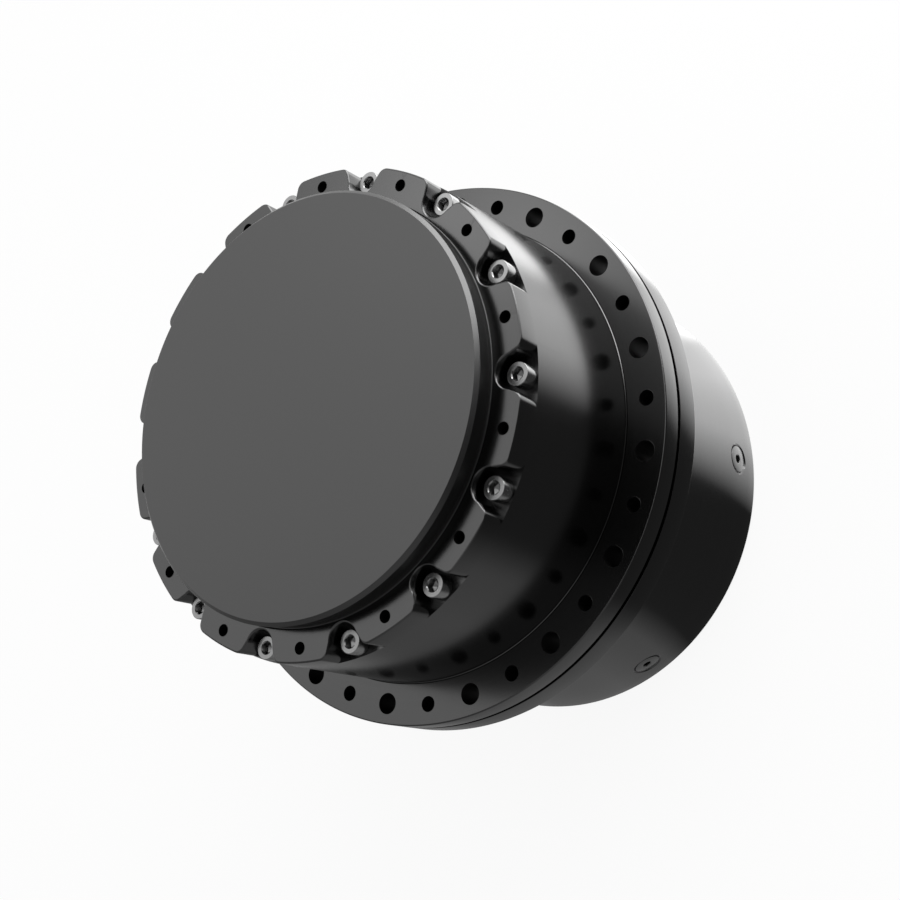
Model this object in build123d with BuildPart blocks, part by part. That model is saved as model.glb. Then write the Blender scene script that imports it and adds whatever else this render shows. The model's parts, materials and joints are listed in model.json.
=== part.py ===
from build123d import *
import os
from math import acos, cos, hypot, pi, radians, sin, sqrt, tan

# Brushless servo motor for a robot joint, in millimetres.
# The motor axis is +Z, the front disc faces up and the part stands on its rear face at z = 0.
# Fixed side: rear housing, gearbox flange, stator, electronics and planet carrier.
# Turning side: the output drum with its ring gear, driven by the sun shaft through three planets.

# Outer form
body_r = 52.0  # rear cup and output drum
flange_w = 9.25  # how far the flange stands out from the body
shell_h = 47.5  # rear face to the band
band_t = 6.5
flange_t = 6.0
drum_h = 38.0  # flange face to ring face
disc_rise = 5.0  # ring face to the front of the disc
rear_round = 1.2
edge_break = 0.4
fine_break = 0.25

# Clearances
fit_gap = 0.05  # between pieces that seat on each other
running_gap = 0.25  # between the drum and the fixed flange
axial_gap = 0.4  # between turning and fixed faces
joint_line_h = 0.4  # fine groove between the band and the flange
joint_line_depth = 0.5

# Mounting flange
flange_holes = 16
flange_big_r = 2.25
flange_small_r = 1.65
flange_screws_n = 8  # from behind, each between a large and a small hole
flange_screw_r = 1.25
flange_screw_bite = 4.0
flange_head_r = 2.25
flange_head_h = 2.5

# Ring face of the drum
ring_holes = 14
ring_hole_inset = 3.0
ring_hole_r = 1.25
ring_hole_depth = 8.0
tie_inset = 2.7
tie_r = 1.25
tie_thread_r = 1.0
tie_head_r = 2.25
tie_head_h = 3.1
pocket_r = 3.45
pocket_depth = 5.3
flank_start = radians(100)
flank_angle = radians(25)
flank_reach = 8.0
lobe_r = 2.0
screw_gap = 0.2  # clearance round a screw's shank
socket_share = 0.45  # hexagon socket across its corners, as a share of the head
socket_depth = 1.4

# Drum, bearing clamp ring and front cap
drum_wall = 6.4
foot_wall = 4.5
foot_below = 2.0  # how far the drum reaches down inside the flange
recess_wall = 6.8
cap_seat_depth = 5.0
shoulder_t = 9.0
shoulder_w = 5.6
cap_groove_w = 0.8
cap_rim_w = 0.2
cap_rim_t = 1.9
cap_hollow_wall = 8.4
cap_hollow_h = 6.0
cap_screws_n = 6
cap_screw_r = 1.25
cap_head_r = 2.25
cap_head_h = 2.5
cap_web_t = 4.0
cap_screw_inset = 9.6
seal_t = 1.2  # square ring round the cap's neck
seal_bed = 0.6  # its groove's depth in the neck

# Crossed-roller bearing
race_h = 8.0
race_drop = 5.2  # bearing's rear face below the flange face
outer_race_t = 4.4
inner_race_t = 4.0
race_split = 0.4
roller_r = 2.0
roller_n = 44
clamp_t = 4.0
clamp_lip_w = 3.0

# Gearbox flange: plate, bearing tube and hub
plate_t = 4.0
plate_drop = 3.6  # plate's front face below the joint line
plate_rim_t = 2.0
spigot_wall = 1.1
tube_wall = 6.5
tube_step = 3.4
seal_groove_depth = 1.05
seal_groove_h = 2.5
seal_groove_z = 1.5

# Gears
ring_teeth = 75
planet_teeth = 30
sun_teeth = 15
gear_wall = 8.1  # drum bore to the ring gear's pitch circle
gear_rise = 3.2  # ring gear's rear face above the bearing
pressure_angle = radians(25)
addendum = 1.0  # in modules
dedendum = 1.25
backlash = 0.06  # taken off each tooth, in modules
ring_tip_cut = 0.1
planet_side_gap = 0.4
ring_screws_n = 12
ring_screw_r = 1.25
ring_head_r = 2.25
ring_head_h = 2.5
ring_screw_bite = 6.0

# Planet carrier
planets = 3
carrier_t = 2.6
carrier_boss_h = 4.0
pin_r = 4.0
bush_t = 1.45
post_r = 5.5
post_place = 1.18  # post circle over planet circle
carrier_cover_t = 3.8
carrier_rim = 11.0  # planet circle to the cover's edge
carrier_screws_n = 6
carrier_screw_r = 1.5
carrier_screw_bite = 8.0
carrier_head_r = 2.8
post_screw_bite = 9.0

# Motor
shell_wall = 3.0
stator_depth = 17.15
stator_yoke = 5.0
stator_teeth = 24
tooth_w = 4.2
shoe_t = 1.5
slot_opening = 1.8
end_room_rear = 3.5
end_room_front = 3.4
insulator_t = 0.25
coil_gap = 0.3
coil_clearance = 0.32  # coil's side to the middle of the slot
coil_end = 1.9
coil_round = 1.0
air_gap = 0.6
magnet_t = 2.85
magnets = 20
magnet_cover = 0.8
rotor_rim_t = 3.8
rotor_web_t = 4.0
rotor_hub_t = 4.5
rotor_hub_rear_gap = 3.0  # hub to the rear bearing's seat
rotor_hub_front_gap = 5.4  # hub to the front plate
rotor_hole_r = 3.0
rotor_holes_n = 6
shaft_r = 7.5
shaft_mid_r = 8.5
shaft_neck_r = 6.2
shaft_tail = 0.8
magnet_r = 3.0
magnet_h = 2.0
magnet_proud = 0.8

# Motor bearings
bearing_r = 12.0
bearing_h = 5.0
bearing_ring_t = 1.35
ball_r = 1.5
ball_n = 11
hub_wall = 3.5
hub_lip_w = 2.0
hub_lip_t = 1.0

# Rear cover and electronics
cover_t = 3.0
skirt_wall = 4.0
skirt_h = 9.5
cover_screws_n = 6
cover_screw_turn = 36.6
cover_screw_z = 8.8
cover_screw_r = 1.5
cover_head_r = 3.35
cover_head_sink = 0.15
board_gap = 1.1
board_t = 1.6
board_side_gap = 2.45  # board's edge to the cover's skirt
standoff_h = 2.8
standoff_r = 3.2
standoffs_n = 4
standoff_inset = 4.5
standoff_turn = 45.0
board_screw_r = 1.0
board_screw_head_r = 1.9
board_screw_head_h = 1.3
board_screw_bite = 2.2
web_t = 3.5
rear_hub_h = 5.0
rear_hub_back = 0.5
sensor_w = 4.0
sensor_t = 0.8
transistor_w = 5.0
transistor_l = 6.0
transistor_t = 1.0
transistors_n = 6
transistor_lead_gap = 6.1  # transistors to the phase leads
capacitor_r = 4.0
capacitor_h = 7.0
capacitors_n = 3
capacitor_pitch = 10.0
capacitor_y = 26.0
controller_w = 9.0
controller_t = 1.2
lead_r = 0.9
leads_n = 3
lead_inset = 2.4  # inner ends of the coils to the leads
lead_spread = 6.0
lead_turn = 180.0
lead_hole_gap = 0.6

# Connectors in the rear cover, mouth down
mouth_sink = 0.2
connector_wall = 1.8
connector_gap = 0.2
power_w = 14.4
power_d = 6.4
power_depth = 9.0
power_y = -27.0
power_pins = 2
power_pin_pitch = 7.8
power_pin_r = 1.25
power_pin_sink = 1.5
signal_w = 8.5
signal_d = 5.0
signal_depth = 6.0
signal_y = -8.0
signal_pitch = 44.0
signal_pins = 4
signal_pin_pitch = 2.0
signal_pin_w = 0.6
signal_pin_h = 4.5

# Radii that follow
flange_r = body_r + flange_w
flange_bore_r = body_r + running_gap
flange_pitch_r = (flange_bore_r + flange_r) / 2
ring_pitch_r = body_r - ring_hole_inset
tie_circle_r = body_r - tie_inset
drum_bore_r = body_r - drum_wall
foot_bore_r = body_r - foot_wall
recess_r = body_r - recess_wall
shoulder_r = drum_bore_r - shoulder_w
race_out_r = foot_bore_r - fit_gap
race_mid_out_r = race_out_r - outer_race_t
race_mid_in_r = race_mid_out_r - race_split
race_in_r = race_mid_in_r - inner_race_t
roller_circle_r = (race_mid_out_r + race_mid_in_r) / 2
groove_half = (roller_r + fit_gap) * sqrt(2)
tube_r = race_in_r - fit_gap
tube_in_r = tube_r - tube_wall
tube_step_r = tube_r + tube_step
clamp_lip_r = foot_bore_r - clamp_lip_w
spigot_in_r = flange_bore_r + fit_gap
spigot_r = spigot_in_r + spigot_wall
ring_gear_pitch_r = drum_bore_r - gear_wall
module = 2 * ring_gear_pitch_r / ring_teeth
planet_circle_r = module * (sun_teeth + planet_teeth) / 2
sun_root_r = module * (sun_teeth / 2 - dedendum)
bush_r = pin_r + fit_gap + bush_t
planet_bore_r = bush_r + fit_gap
post_circle_r = planet_circle_r * post_place
carrier_r = race_mid_in_r - fit_gap
carrier_screw_circle_r = (tube_r + tube_in_r) / 2
ring_screw_circle_r = (drum_bore_r + shoulder_r) / 2 - ring_screw_r / 3
cap_screw_circle_r = body_r - cap_screw_inset
shell_bore_r = body_r - shell_wall
stator_r = shell_bore_r - fit_gap
stator_in_r = stator_r - stator_depth
yoke_in_r = stator_r - stator_yoke
shoe_r = stator_in_r + shoe_t
magnet_out_r = stator_in_r - air_gap
magnet_in_r = magnet_out_r - magnet_t
rotor_r = magnet_in_r - fit_gap
rotor_rim_r = rotor_r - rotor_rim_t
rotor_bore_r = shaft_mid_r + fit_gap
rotor_hub_r = shaft_mid_r + rotor_hub_t
cover_r = shell_bore_r - fit_gap
skirt_in_r = cover_r - skirt_wall
board_r = skirt_in_r - board_side_gap
standoff_circle_r = board_r - standoff_inset
coil_in_r = shoe_r + coil_gap
coil_side = coil_in_r * tan(pi / stator_teeth) - tooth_w / 2 - coil_gap - coil_clearance
lead_circle = coil_in_r + lead_inset
transistor_circle = lead_circle - lead_r - transistor_lead_gap - transistor_l / 2

# Levels that follow
band_z = shell_h
joint_z = band_z + band_t
face_z = joint_z + flange_t
ring_z = face_z + drum_h
disc_z = ring_z + disc_rise
drum_foot_z = face_z - foot_below
race_z = face_z - race_drop
race_top = race_z + race_h
roller_z = race_z + race_h / 2
clamp_z = race_z - clamp_t
cap_seat_z = ring_z - cap_seat_depth
shoulder_z = cap_seat_z - shoulder_t
pocket_z = ring_z - pocket_depth
gear_z = race_top + gear_rise
gear_top = shoulder_z
plate_top = joint_z - plate_drop
plate_z = plate_top - plate_t
board_z = cover_t + skirt_h + board_gap
board_top = board_z + board_t
web_z = board_top + standoff_h
web_top = web_z + web_t
stator_z = web_top + end_room_rear
stator_top = plate_z - end_room_front
rear_bearing_z = web_z
front_bearing_z = plate_z
carrier_top = race_top + carrier_t
planet_z = gear_z + planet_side_gap
planet_top = gear_top - planet_side_gap * 1.5
carrier_cover_z = gear_top + planet_side_gap
carrier_cover_top = carrier_cover_z + carrier_cover_t
flange_turn = 180 / flange_holes
flange_screw_turn = flange_turn / 2


def turn(*points, mode=Mode.ADD):
    """Revolve a closed profile of (radius, height) points about the motor axis."""
    with BuildSketch(Plane.XZ) as profile:
        with BuildLine():
            Polyline(*points, close=True)
        make_face()
    revolve(profile.sketch, axis=Axis.Z, mode=mode)


def ring(outer, inner, low, high, mode=Mode.ADD):
    """A plain ring between two radii and two levels."""
    with BuildSketch(Plane.XY.offset(low)) as profile:
        Circle(outer)
        Circle(inner, mode=Mode.SUBTRACT)
    extrude(profile.sketch, amount=high - low, mode=mode)


def disc(radius, low, high, mode=Mode.ADD):
    """A plain disc about the motor axis."""
    with BuildSketch(Plane.XY.offset(low)) as profile:
        Circle(radius)
    extrude(profile.sketch, amount=high - low, mode=mode)


def drums(radius, circle, count, start, low, high, mode=Mode.ADD):
    """Equal round bars, or holes, on a circle about the motor axis."""
    with BuildSketch(Plane.XY.offset(low)) as profile:
        with PolarLocations(circle, count, start_angle=start):
            Circle(radius)
    extrude(profile.sketch, amount=high - low, mode=mode)


def sockets(head, circle, count, start, mouth, depth):
    """Hexagon sockets cut into screw heads; the mouth's level comes first, a negative depth cuts upwards."""
    with BuildSketch(Plane.XY.offset(mouth)) as profile:
        with PolarLocations(circle, count, start_angle=start):
            RegularPolygon(head * socket_share * 2 / sqrt(3), 6)
    extrude(profile.sketch, amount=-depth, mode=Mode.SUBTRACT)


def cap_screws(shank, head, head_h, circle, count, start, seat, tip, depth=socket_depth):
    """Socket screws along the axis, their heads on the side of the seat that faces away from the tip."""
    away = 1 if seat > tip else -1
    low, high = sorted((seat, tip))
    drums(shank, circle, count, start, low, high)
    head_low, head_high = sorted((seat, seat + away * head_h))
    drums(head, circle, count, start, head_low, head_high)
    sockets(head, circle, count, start, seat + away * head_h, away * depth)


def involute_turn(radius, base):
    """Angle that an involute from the base circle has turned at a radius."""
    angle = acos(min(1.0, base / radius))
    return tan(angle) - angle


def gear_outline(teeth, thin, low_r, high_r, start):
    """Closed outline of involute teeth between two radii, each flank as one arc through three of its points.

    The half width of a tooth at radius r is its half width on the pitch circle plus inv(a) - inv(r).
    A positive thin narrows the teeth; start is the direction of the first tooth.
    """
    pitch = module * teeth / 2
    base = pitch * cos(pressure_angle)
    flank_low = max(base, low_r)
    half = pi / (2 * teeth) - thin * module / (2 * pitch) + involute_turn(pitch, base)

    def at(radius, angle):
        return (radius * cos(angle), radius * sin(angle))

    steps = (flank_low, (flank_low + high_r) / 2, high_r)
    for tooth in range(teeth):
        middle = start + 2 * pi * tooth / teeth
        left = [at(r, middle - half + involute_turn(r, base)) for r in steps]
        right = [at(r, middle + half - involute_turn(r, base)) for r in reversed(steps)]
        if low_r < base:
            Line(at(low_r, middle - half), left[0])
        ThreePointArc(*left)
        ThreePointArc(left[-1], at(high_r, middle), right[0])
        ThreePointArc(*right)
        if low_r < base:
            Line(right[-1], at(low_r, middle + half))
        gap = middle + pi / teeth
        ThreePointArc(
            at(low_r if low_r < base else flank_low, middle + half - involute_turn(flank_low, base)),
            at(low_r if low_r < base else flank_low, gap),
            at(low_r if low_r < base else flank_low, middle + 2 * pi / teeth - half + involute_turn(flank_low, base)),
        )


def race_groove(mode=Mode.SUBTRACT):
    """Square groove on its corner, which the crossed rollers run in."""
    turn(
        (roller_circle_r - groove_half, roller_z),
        (roller_circle_r, roller_z - groove_half),
        (roller_circle_r + groove_half, roller_z),
        (roller_circle_r, roller_z + groove_half),
        mode=mode,
    )


# Fixed side: housings

# Rear cup, web with the rear bearing's seat, and the band behind the flange
with BuildPart() as rear_housing:
    turn(
        (shell_bore_r, 0),
        (body_r, 0),
        (body_r, band_z),
        (flange_r - edge_break, band_z),
        (flange_r, band_z + edge_break),
        (flange_r, joint_z),
        (spigot_r + fit_gap, joint_z),
        (spigot_r + fit_gap, plate_top - plate_rim_t),
        (shell_bore_r, plate_top - plate_rim_t),
        (shell_bore_r, web_top),
        (bearing_r + hub_wall, web_top),
        (bearing_r + hub_wall, web_z + rear_hub_h + hub_lip_t),
        (bearing_r - hub_lip_w, web_z + rear_hub_h + hub_lip_t),
        (bearing_r - hub_lip_w, web_z + rear_hub_h),
        (bearing_r + fit_gap, web_z + rear_hub_h),
        (bearing_r + fit_gap, web_z - rear_hub_back),
        (bearing_r + hub_wall, web_z - rear_hub_back),
        (bearing_r + hub_wall, web_z),
        (shell_bore_r, web_z),
    )
    rim = rear_housing.edges().filter_by(GeomType.CIRCLE).group_by(Axis.Z)[0].sort_by(SortBy.RADIUS)[-1]
    fillet(rim, rear_round)
    drums(standoff_r, standoff_circle_r, standoffs_n, standoff_turn, board_top, web_z)
    drums(board_screw_r, standoff_circle_r, standoffs_n, standoff_turn, board_top, web_z, Mode.SUBTRACT)
    drums(flange_big_r, flange_pitch_r, flange_holes, flange_turn, band_z, joint_z, Mode.SUBTRACT)
    head_seat_z = band_z + flange_head_h + screw_gap
    drums(
        flange_screw_r + screw_gap, flange_pitch_r, flange_screws_n, flange_screw_turn, band_z, joint_z,
        Mode.SUBTRACT,
    )
    drums(
        flange_head_r + screw_gap, flange_pitch_r, flange_screws_n, flange_screw_turn, band_z, head_seat_z,
        Mode.SUBTRACT,
    )
    with BuildSketch(Plane.XY.offset(web_z)):
        with PolarLocations(lead_circle, 1, start_angle=lead_turn):
            SlotOverall(2 * (lead_spread + lead_r + lead_hole_gap), 2 * (lead_r + lead_hole_gap), rotation=90)
    extrude(amount=web_t, mode=Mode.SUBTRACT)
    for k in range(cover_screws_n):
        outward = Vector(1, 0, 0).rotate(Axis.Z, cover_screw_turn + 360 * k / cover_screws_n)
        with BuildSketch(Plane(origin=outward * body_r + Vector(0, 0, cover_screw_z), z_dir=outward)):
            Circle(cover_screw_r + screw_gap)
        extrude(amount=-shell_wall - fit_gap, mode=Mode.SUBTRACT)
        with BuildSketch(Plane(origin=outward * body_r + Vector(0, 0, cover_screw_z), z_dir=outward)):
            Circle(cover_head_r + fit_gap)
        extrude(amount=cover_screw_r + screw_gap - cover_head_r - fit_gap, taper=45, mode=Mode.SUBTRACT)
rear_housing.part.label = "rear_housing"

# Flange, spigot, plate, bearing tube and front hub in one piece
with BuildPart() as gearbox_flange:
    turn(
        (bearing_r + fit_gap, plate_z),
        (stator_r, plate_z),
        (stator_r, plate_top - plate_rim_t + fit_gap),
        (spigot_r, plate_top - plate_rim_t + fit_gap),
        (spigot_r, joint_z),
        (flange_r - joint_line_depth, joint_z),
        (flange_r - joint_line_depth, joint_z + joint_line_h),
        (flange_r, joint_z + joint_line_h),
        (flange_r, face_z - edge_break),
        (flange_r - edge_break, face_z),
        (flange_bore_r, face_z),
        (flange_bore_r, joint_z),
        (spigot_in_r, joint_z),
        (spigot_in_r, plate_top),
        (tube_step_r, plate_top),
        (tube_step_r, race_z),
        (tube_r, race_z),
        (tube_r, race_top),
        (tube_in_r, race_top),
        (tube_in_r, plate_top),
        (bearing_r + hub_wall, plate_top),
        (bearing_r + hub_wall, plate_z + bearing_h + hub_lip_t),
        (bearing_r - hub_lip_w, plate_z + bearing_h + hub_lip_t),
        (bearing_r - hub_lip_w, plate_z + bearing_h),
        (bearing_r + fit_gap, plate_z + bearing_h),
    )
    ring(
        flange_bore_r + seal_groove_depth,
        flange_bore_r - fit_gap,
        joint_z + seal_groove_z,
        joint_z + seal_groove_z + seal_groove_h,
        Mode.SUBTRACT,
    )
    drums(flange_big_r, flange_pitch_r, flange_holes, flange_turn, joint_z, face_z, Mode.SUBTRACT)
    drums(flange_small_r, flange_pitch_r, flange_holes, 0, joint_z, face_z, Mode.SUBTRACT)
    drums(
        flange_screw_r + fit_gap, flange_pitch_r, flange_screws_n, flange_screw_turn,
        joint_z, joint_z + flange_screw_bite + screw_gap, Mode.SUBTRACT,
    )
    drums(
        carrier_screw_r + fit_gap, carrier_screw_circle_r, carrier_screws_n, 180 / planets / 2,
        race_top - carrier_screw_bite, race_top, Mode.SUBTRACT,
    )
gearbox_flange.part.label = "gearbox_flange"

with BuildPart() as flange_screws:
    cap_screws(
        flange_screw_r, flange_head_r, flange_head_h, flange_pitch_r, flange_screws_n, flange_screw_turn,
        head_seat_z, joint_z + flange_screw_bite,
    )
flange_screws.part.label = "flange_screws"

with BuildPart() as output_seal:
    seal_low = joint_z + seal_groove_z + fit_gap
    ring(
        flange_bore_r + seal_groove_depth - fit_gap, body_r + fit_gap, seal_low,
        seal_low + seal_groove_h - 2 * fit_gap,
    )
output_seal.part.label = "output_seal"

# Rear cover with its skirt and the cut-outs for the connectors
with BuildPart() as rear_cover:
    disc(cover_r, 0, cover_t)
    ring(cover_r, skirt_in_r, cover_t, cover_t + skirt_h)
    with BuildSketch(Plane.XY):
        with Locations((0, power_y)):
            Rectangle(power_w + 2 * (connector_wall + connector_gap), power_d + 2 * (connector_wall + connector_gap))
        with Locations((0, signal_y)):
            with GridLocations(signal_pitch, 1, 2, 1):
                Rectangle(
                    signal_w + 2 * (connector_wall + connector_gap), signal_d + 2 * (connector_wall + connector_gap)
                )
    extrude(amount=cover_t, mode=Mode.SUBTRACT)
    for k in range(cover_screws_n):
        outward = Vector(1, 0, 0).rotate(Axis.Z, cover_screw_turn + 360 * k / cover_screws_n)
        with BuildSketch(Plane(origin=outward * cover_r + Vector(0, 0, cover_screw_z), z_dir=outward)):
            Circle(cover_screw_r + fit_gap)
        extrude(amount=-skirt_wall, mode=Mode.SUBTRACT)
    mouth = rear_cover.edges().filter_by(GeomType.CIRCLE).group_by(Axis.Z)[0].sort_by(SortBy.RADIUS)[-1]
    chamfer(mouth, fine_break)
rear_cover.part.label = "rear_cover"

# Countersunk screws through the cup into the cover's skirt
with BuildPart() as cover_screws:
    head_face = body_r - cover_head_sink
    for k in range(cover_screws_n):
        outward = Vector(1, 0, 0).rotate(Axis.Z, cover_screw_turn + 360 * k / cover_screws_n)
        with BuildSketch(Plane(origin=outward * head_face + Vector(0, 0, cover_screw_z), z_dir=outward)):
            Circle(cover_head_r - cover_head_sink)
        extrude(amount=cover_screw_r + cover_head_sink - cover_head_r, taper=45)
        with BuildSketch(Plane(origin=outward * head_face + Vector(0, 0, cover_screw_z), z_dir=outward)):
            Circle(cover_screw_r)
        extrude(amount=skirt_in_r - head_face)
        with BuildSketch(Plane(origin=outward * head_face + Vector(0, 0, cover_screw_z), z_dir=outward)):
            RegularPolygon(cover_head_r * socket_share * 2 / sqrt(3) * 0.75, 6)
        extrude(amount=-socket_depth, mode=Mode.SUBTRACT)
cover_screws.part.label = "cover_screws"

# Fixed side: electronics

with BuildPart() as driver_board:
    disc(board_r, board_z, board_top)
    drums(
        board_screw_r + screw_gap, standoff_circle_r, standoffs_n, standoff_turn, board_z, board_top, Mode.SUBTRACT
    )
driver_board.part.label = "driver_board"

with BuildPart() as board_screws:
    cap_screws(
        board_screw_r - fit_gap, board_screw_head_r, board_screw_head_h, standoff_circle_r, standoffs_n,
        standoff_turn, board_z, board_top + board_screw_bite, board_screw_head_h / 2,
    )
board_screws.part.label = "board_screws"

with BuildPart() as encoder_chip:
    with BuildSketch(Plane.XY.offset(board_top)):
        Rectangle(sensor_w, sensor_w)
    extrude(amount=sensor_t)
encoder_chip.part.label = "encoder_chip"

with BuildPart() as power_transistors:
    with BuildSketch(Plane.XY.offset(board_top)):
        with PolarLocations(transistor_circle, transistors_n):
            Rectangle(transistor_l, transistor_w)
    extrude(amount=transistor_t)
power_transistors.part.label = "power_transistors"

with BuildPart() as bus_capacitors:
    with BuildSketch(Plane.XY.offset(board_z)):
        with Locations((0, capacitor_y)):
            with GridLocations(capacitor_pitch, 1, capacitors_n, 1):
                Circle(capacitor_r)
    extrude(amount=-capacitor_h)
bus_capacitors.part.label = "bus_capacitors"

with BuildPart() as controller_chip:
    with BuildSketch(Plane.XY.offset(board_z)):
        Rectangle(controller_w, controller_w)
    extrude(amount=-controller_t)
controller_chip.part.label = "controller_chip"

with BuildPart() as power_connector:
    with BuildSketch(Plane.XY.offset(mouth_sink)):
        with Locations((0, power_y)):
            Rectangle(power_w + 2 * connector_wall, power_d + 2 * connector_wall)
    extrude(amount=board_z - mouth_sink)
    with BuildSketch(Plane.XY.offset(mouth_sink)):
        with Locations((0, power_y)):
            Rectangle(power_w, power_d)
    extrude(amount=power_depth, mode=Mode.SUBTRACT)
    with BuildSketch(Plane.XY.offset(mouth_sink + power_pin_sink)):
        with Locations((0, power_y)):
            with GridLocations(power_pin_pitch, 1, power_pins, 1):
                Circle(power_pin_r)
    extrude(amount=power_depth - power_pin_sink)
power_connector.part.label = "power_connector"

with BuildPart() as signal_connectors:
    with BuildSketch(Plane.XY.offset(mouth_sink)):
        with Locations((0, signal_y)):
            with GridLocations(signal_pitch, 1, 2, 1):
                Rectangle(signal_w + 2 * connector_wall, signal_d + 2 * connector_wall)
    extrude(amount=board_z - mouth_sink)
    with BuildSketch(Plane.XY.offset(mouth_sink)):
        with Locations((0, signal_y)):
            with GridLocations(signal_pitch, 1, 2, 1):
                Rectangle(signal_w, signal_d)
    extrude(amount=signal_depth, mode=Mode.SUBTRACT)
    with BuildSketch(Plane.XY.offset(mouth_sink + signal_depth - signal_pin_h)):
        with Locations((0, signal_y)):
            with GridLocations(signal_pitch, 1, 2, 1):
                with GridLocations(signal_pin_pitch, 1, signal_pins, 1):
                    Rectangle(signal_pin_w, signal_pin_w)
    extrude(amount=signal_pin_h)
signal_connectors.part.label = "signal_connectors"

with BuildPart() as phase_leads:
    coil_low = stator_z - coil_gap - coil_end
    with BuildSketch(Plane.XY.offset(board_top)):
        with PolarLocations(lead_circle, 1, start_angle=lead_turn):
            with GridLocations(1, lead_spread, 1, leads_n):
                Circle(lead_r)
    extrude(amount=coil_low - board_top - fit_gap)
phase_leads.part.label = "phase_leads"

# Fixed side: stator

with BuildSketch() as lamination:
    Circle(stator_r)
    Circle(yoke_in_r, mode=Mode.SUBTRACT)
    Circle(shoe_r)
    Circle(stator_in_r, mode=Mode.SUBTRACT)
    with PolarLocations((stator_r - stator_yoke / 2 + shoe_r) / 2, stator_teeth):
        Rectangle(stator_r - stator_yoke / 2 - shoe_r + shoe_t / 2, tooth_w)
    with PolarLocations(stator_in_r + shoe_t / 2, stator_teeth, start_angle=180 / stator_teeth):
        Rectangle(shoe_t * 3, slot_opening, mode=Mode.SUBTRACT)

with BuildPart() as stator_core:
    with BuildSketch(Plane.XY.offset(stator_z)):
        add(lamination.sketch)
    extrude(amount=stator_top - stator_z)
stator_core.part.label = "stator_core"

with BuildPart() as stator_insulators:
    with BuildSketch(Plane.XY.offset(stator_top)):
        add(lamination.sketch)
    extrude(amount=insulator_t)
    with BuildSketch(Plane.XY.offset(stator_z)):
        add(lamination.sketch)
    extrude(amount=-insulator_t)
stator_insulators.part.label = "stator_insulators"

# One coil round the tooth on the X axis, which the three phases repeat
with BuildPart() as coil:
    coil_centre = Vector(coil_in_r, 0, (stator_z + stator_top) / 2)
    coil_hole_w = tooth_w + 2 * coil_gap
    coil_hole_h = stator_top - stator_z + 2 * coil_gap
    with BuildSketch(Plane(origin=coil_centre, x_dir=(0, 1, 0), z_dir=(1, 0, 0))):
        RectangleRounded(coil_hole_w + 2 * coil_side, coil_hole_h + 2 * coil_end, coil_round)
        Rectangle(coil_hole_w, coil_hole_h, mode=Mode.SUBTRACT)
    extrude(amount=yoke_in_r - coil_gap - coil_in_r)

with BuildPart() as winding_u:
    with PolarLocations(0, stator_teeth // 3):
        add(coil.part)
winding_u.part.label = "winding_u"

with BuildPart() as winding_v:
    with PolarLocations(0, stator_teeth // 3, start_angle=360 / stator_teeth):
        add(coil.part)
winding_v.part.label = "winding_v"

with BuildPart() as winding_w:
    with PolarLocations(0, stator_teeth // 3, start_angle=720 / stator_teeth):
        add(coil.part)
winding_w.part.label = "winding_w"

# Fixed side: bearings and planet carrier

bearing_in_r = shaft_r + fit_gap
bearing_track_r = (bearing_r + bearing_in_r) / 2

with BuildPart() as rear_bearing_outer:
    ring(bearing_r, bearing_r - bearing_ring_t, rear_bearing_z, rear_bearing_z + bearing_h)
    with BuildSketch(Plane.XZ):
        with Locations((bearing_track_r, rear_bearing_z + bearing_h / 2)):
            Circle(ball_r + fit_gap)
    revolve(axis=Axis.Z, mode=Mode.SUBTRACT)
rear_bearing_outer.part.label = "rear_bearing_outer"

with BuildPart() as front_bearing_outer:
    add(rear_bearing_outer.part.moved(Location((0, 0, front_bearing_z - rear_bearing_z))))
front_bearing_outer.part.label = "front_bearing_outer"

with BuildPart() as race_inner:
    ring(race_mid_in_r, race_in_r, race_z, race_top)
    race_groove()
race_inner.part.label = "race_inner"

with BuildPart() as planet_carrier:
    disc(tube_in_r - fit_gap, race_top - carrier_boss_h, race_top)
    disc(carrier_r, race_top, carrier_top)
    drums(post_r, post_circle_r, planets, 180 / planets, carrier_top, carrier_cover_z)
    disc(shaft_mid_r, race_top - carrier_boss_h, carrier_top, Mode.SUBTRACT)
    drums(
        pin_r + fit_gap / 2, planet_circle_r, planets, 0, race_top - carrier_boss_h, carrier_top, Mode.SUBTRACT
    )
    drums(
        carrier_screw_r, post_circle_r, planets, 180 / planets,
        carrier_cover_z - post_screw_bite, carrier_cover_z, Mode.SUBTRACT,
    )
    drums(
        carrier_screw_r + screw_gap, carrier_screw_circle_r, carrier_screws_n, 180 / planets / 2,
        race_top, carrier_top, Mode.SUBTRACT,
    )
    with BuildSketch(Plane.XY.offset(carrier_top)):
        with PolarLocations(carrier_screw_circle_r, carrier_screws_n, start_angle=180 / planets / 2):
            Circle(carrier_head_r + fit_gap)
    extrude(amount=carrier_screw_r + screw_gap - carrier_head_r - fit_gap, taper=45, mode=Mode.SUBTRACT)
planet_carrier.part.label = "planet_carrier"

with BuildPart() as carrier_screws:
    with BuildSketch(Plane.XY.offset(carrier_top)):
        with PolarLocations(carrier_screw_circle_r, carrier_screws_n, start_angle=180 / planets / 2):
            Circle(carrier_head_r)
    extrude(amount=carrier_screw_r - carrier_head_r, taper=45)
    drums(
        carrier_screw_r, carrier_screw_circle_r, carrier_screws_n, 180 / planets / 2,
        race_top - carrier_screw_bite + screw_gap, carrier_top,
    )
    sockets(
        carrier_screw_r, carrier_screw_circle_r, carrier_screws_n, 180 / planets / 2, carrier_top, socket_depth
    )
carrier_screws.part.label = "carrier_screws"

with BuildPart() as planet_pins:
    drums(pin_r, planet_circle_r, planets, 0, race_top - carrier_boss_h, carrier_cover_top)
planet_pins.part.label = "planet_pins"

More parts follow.
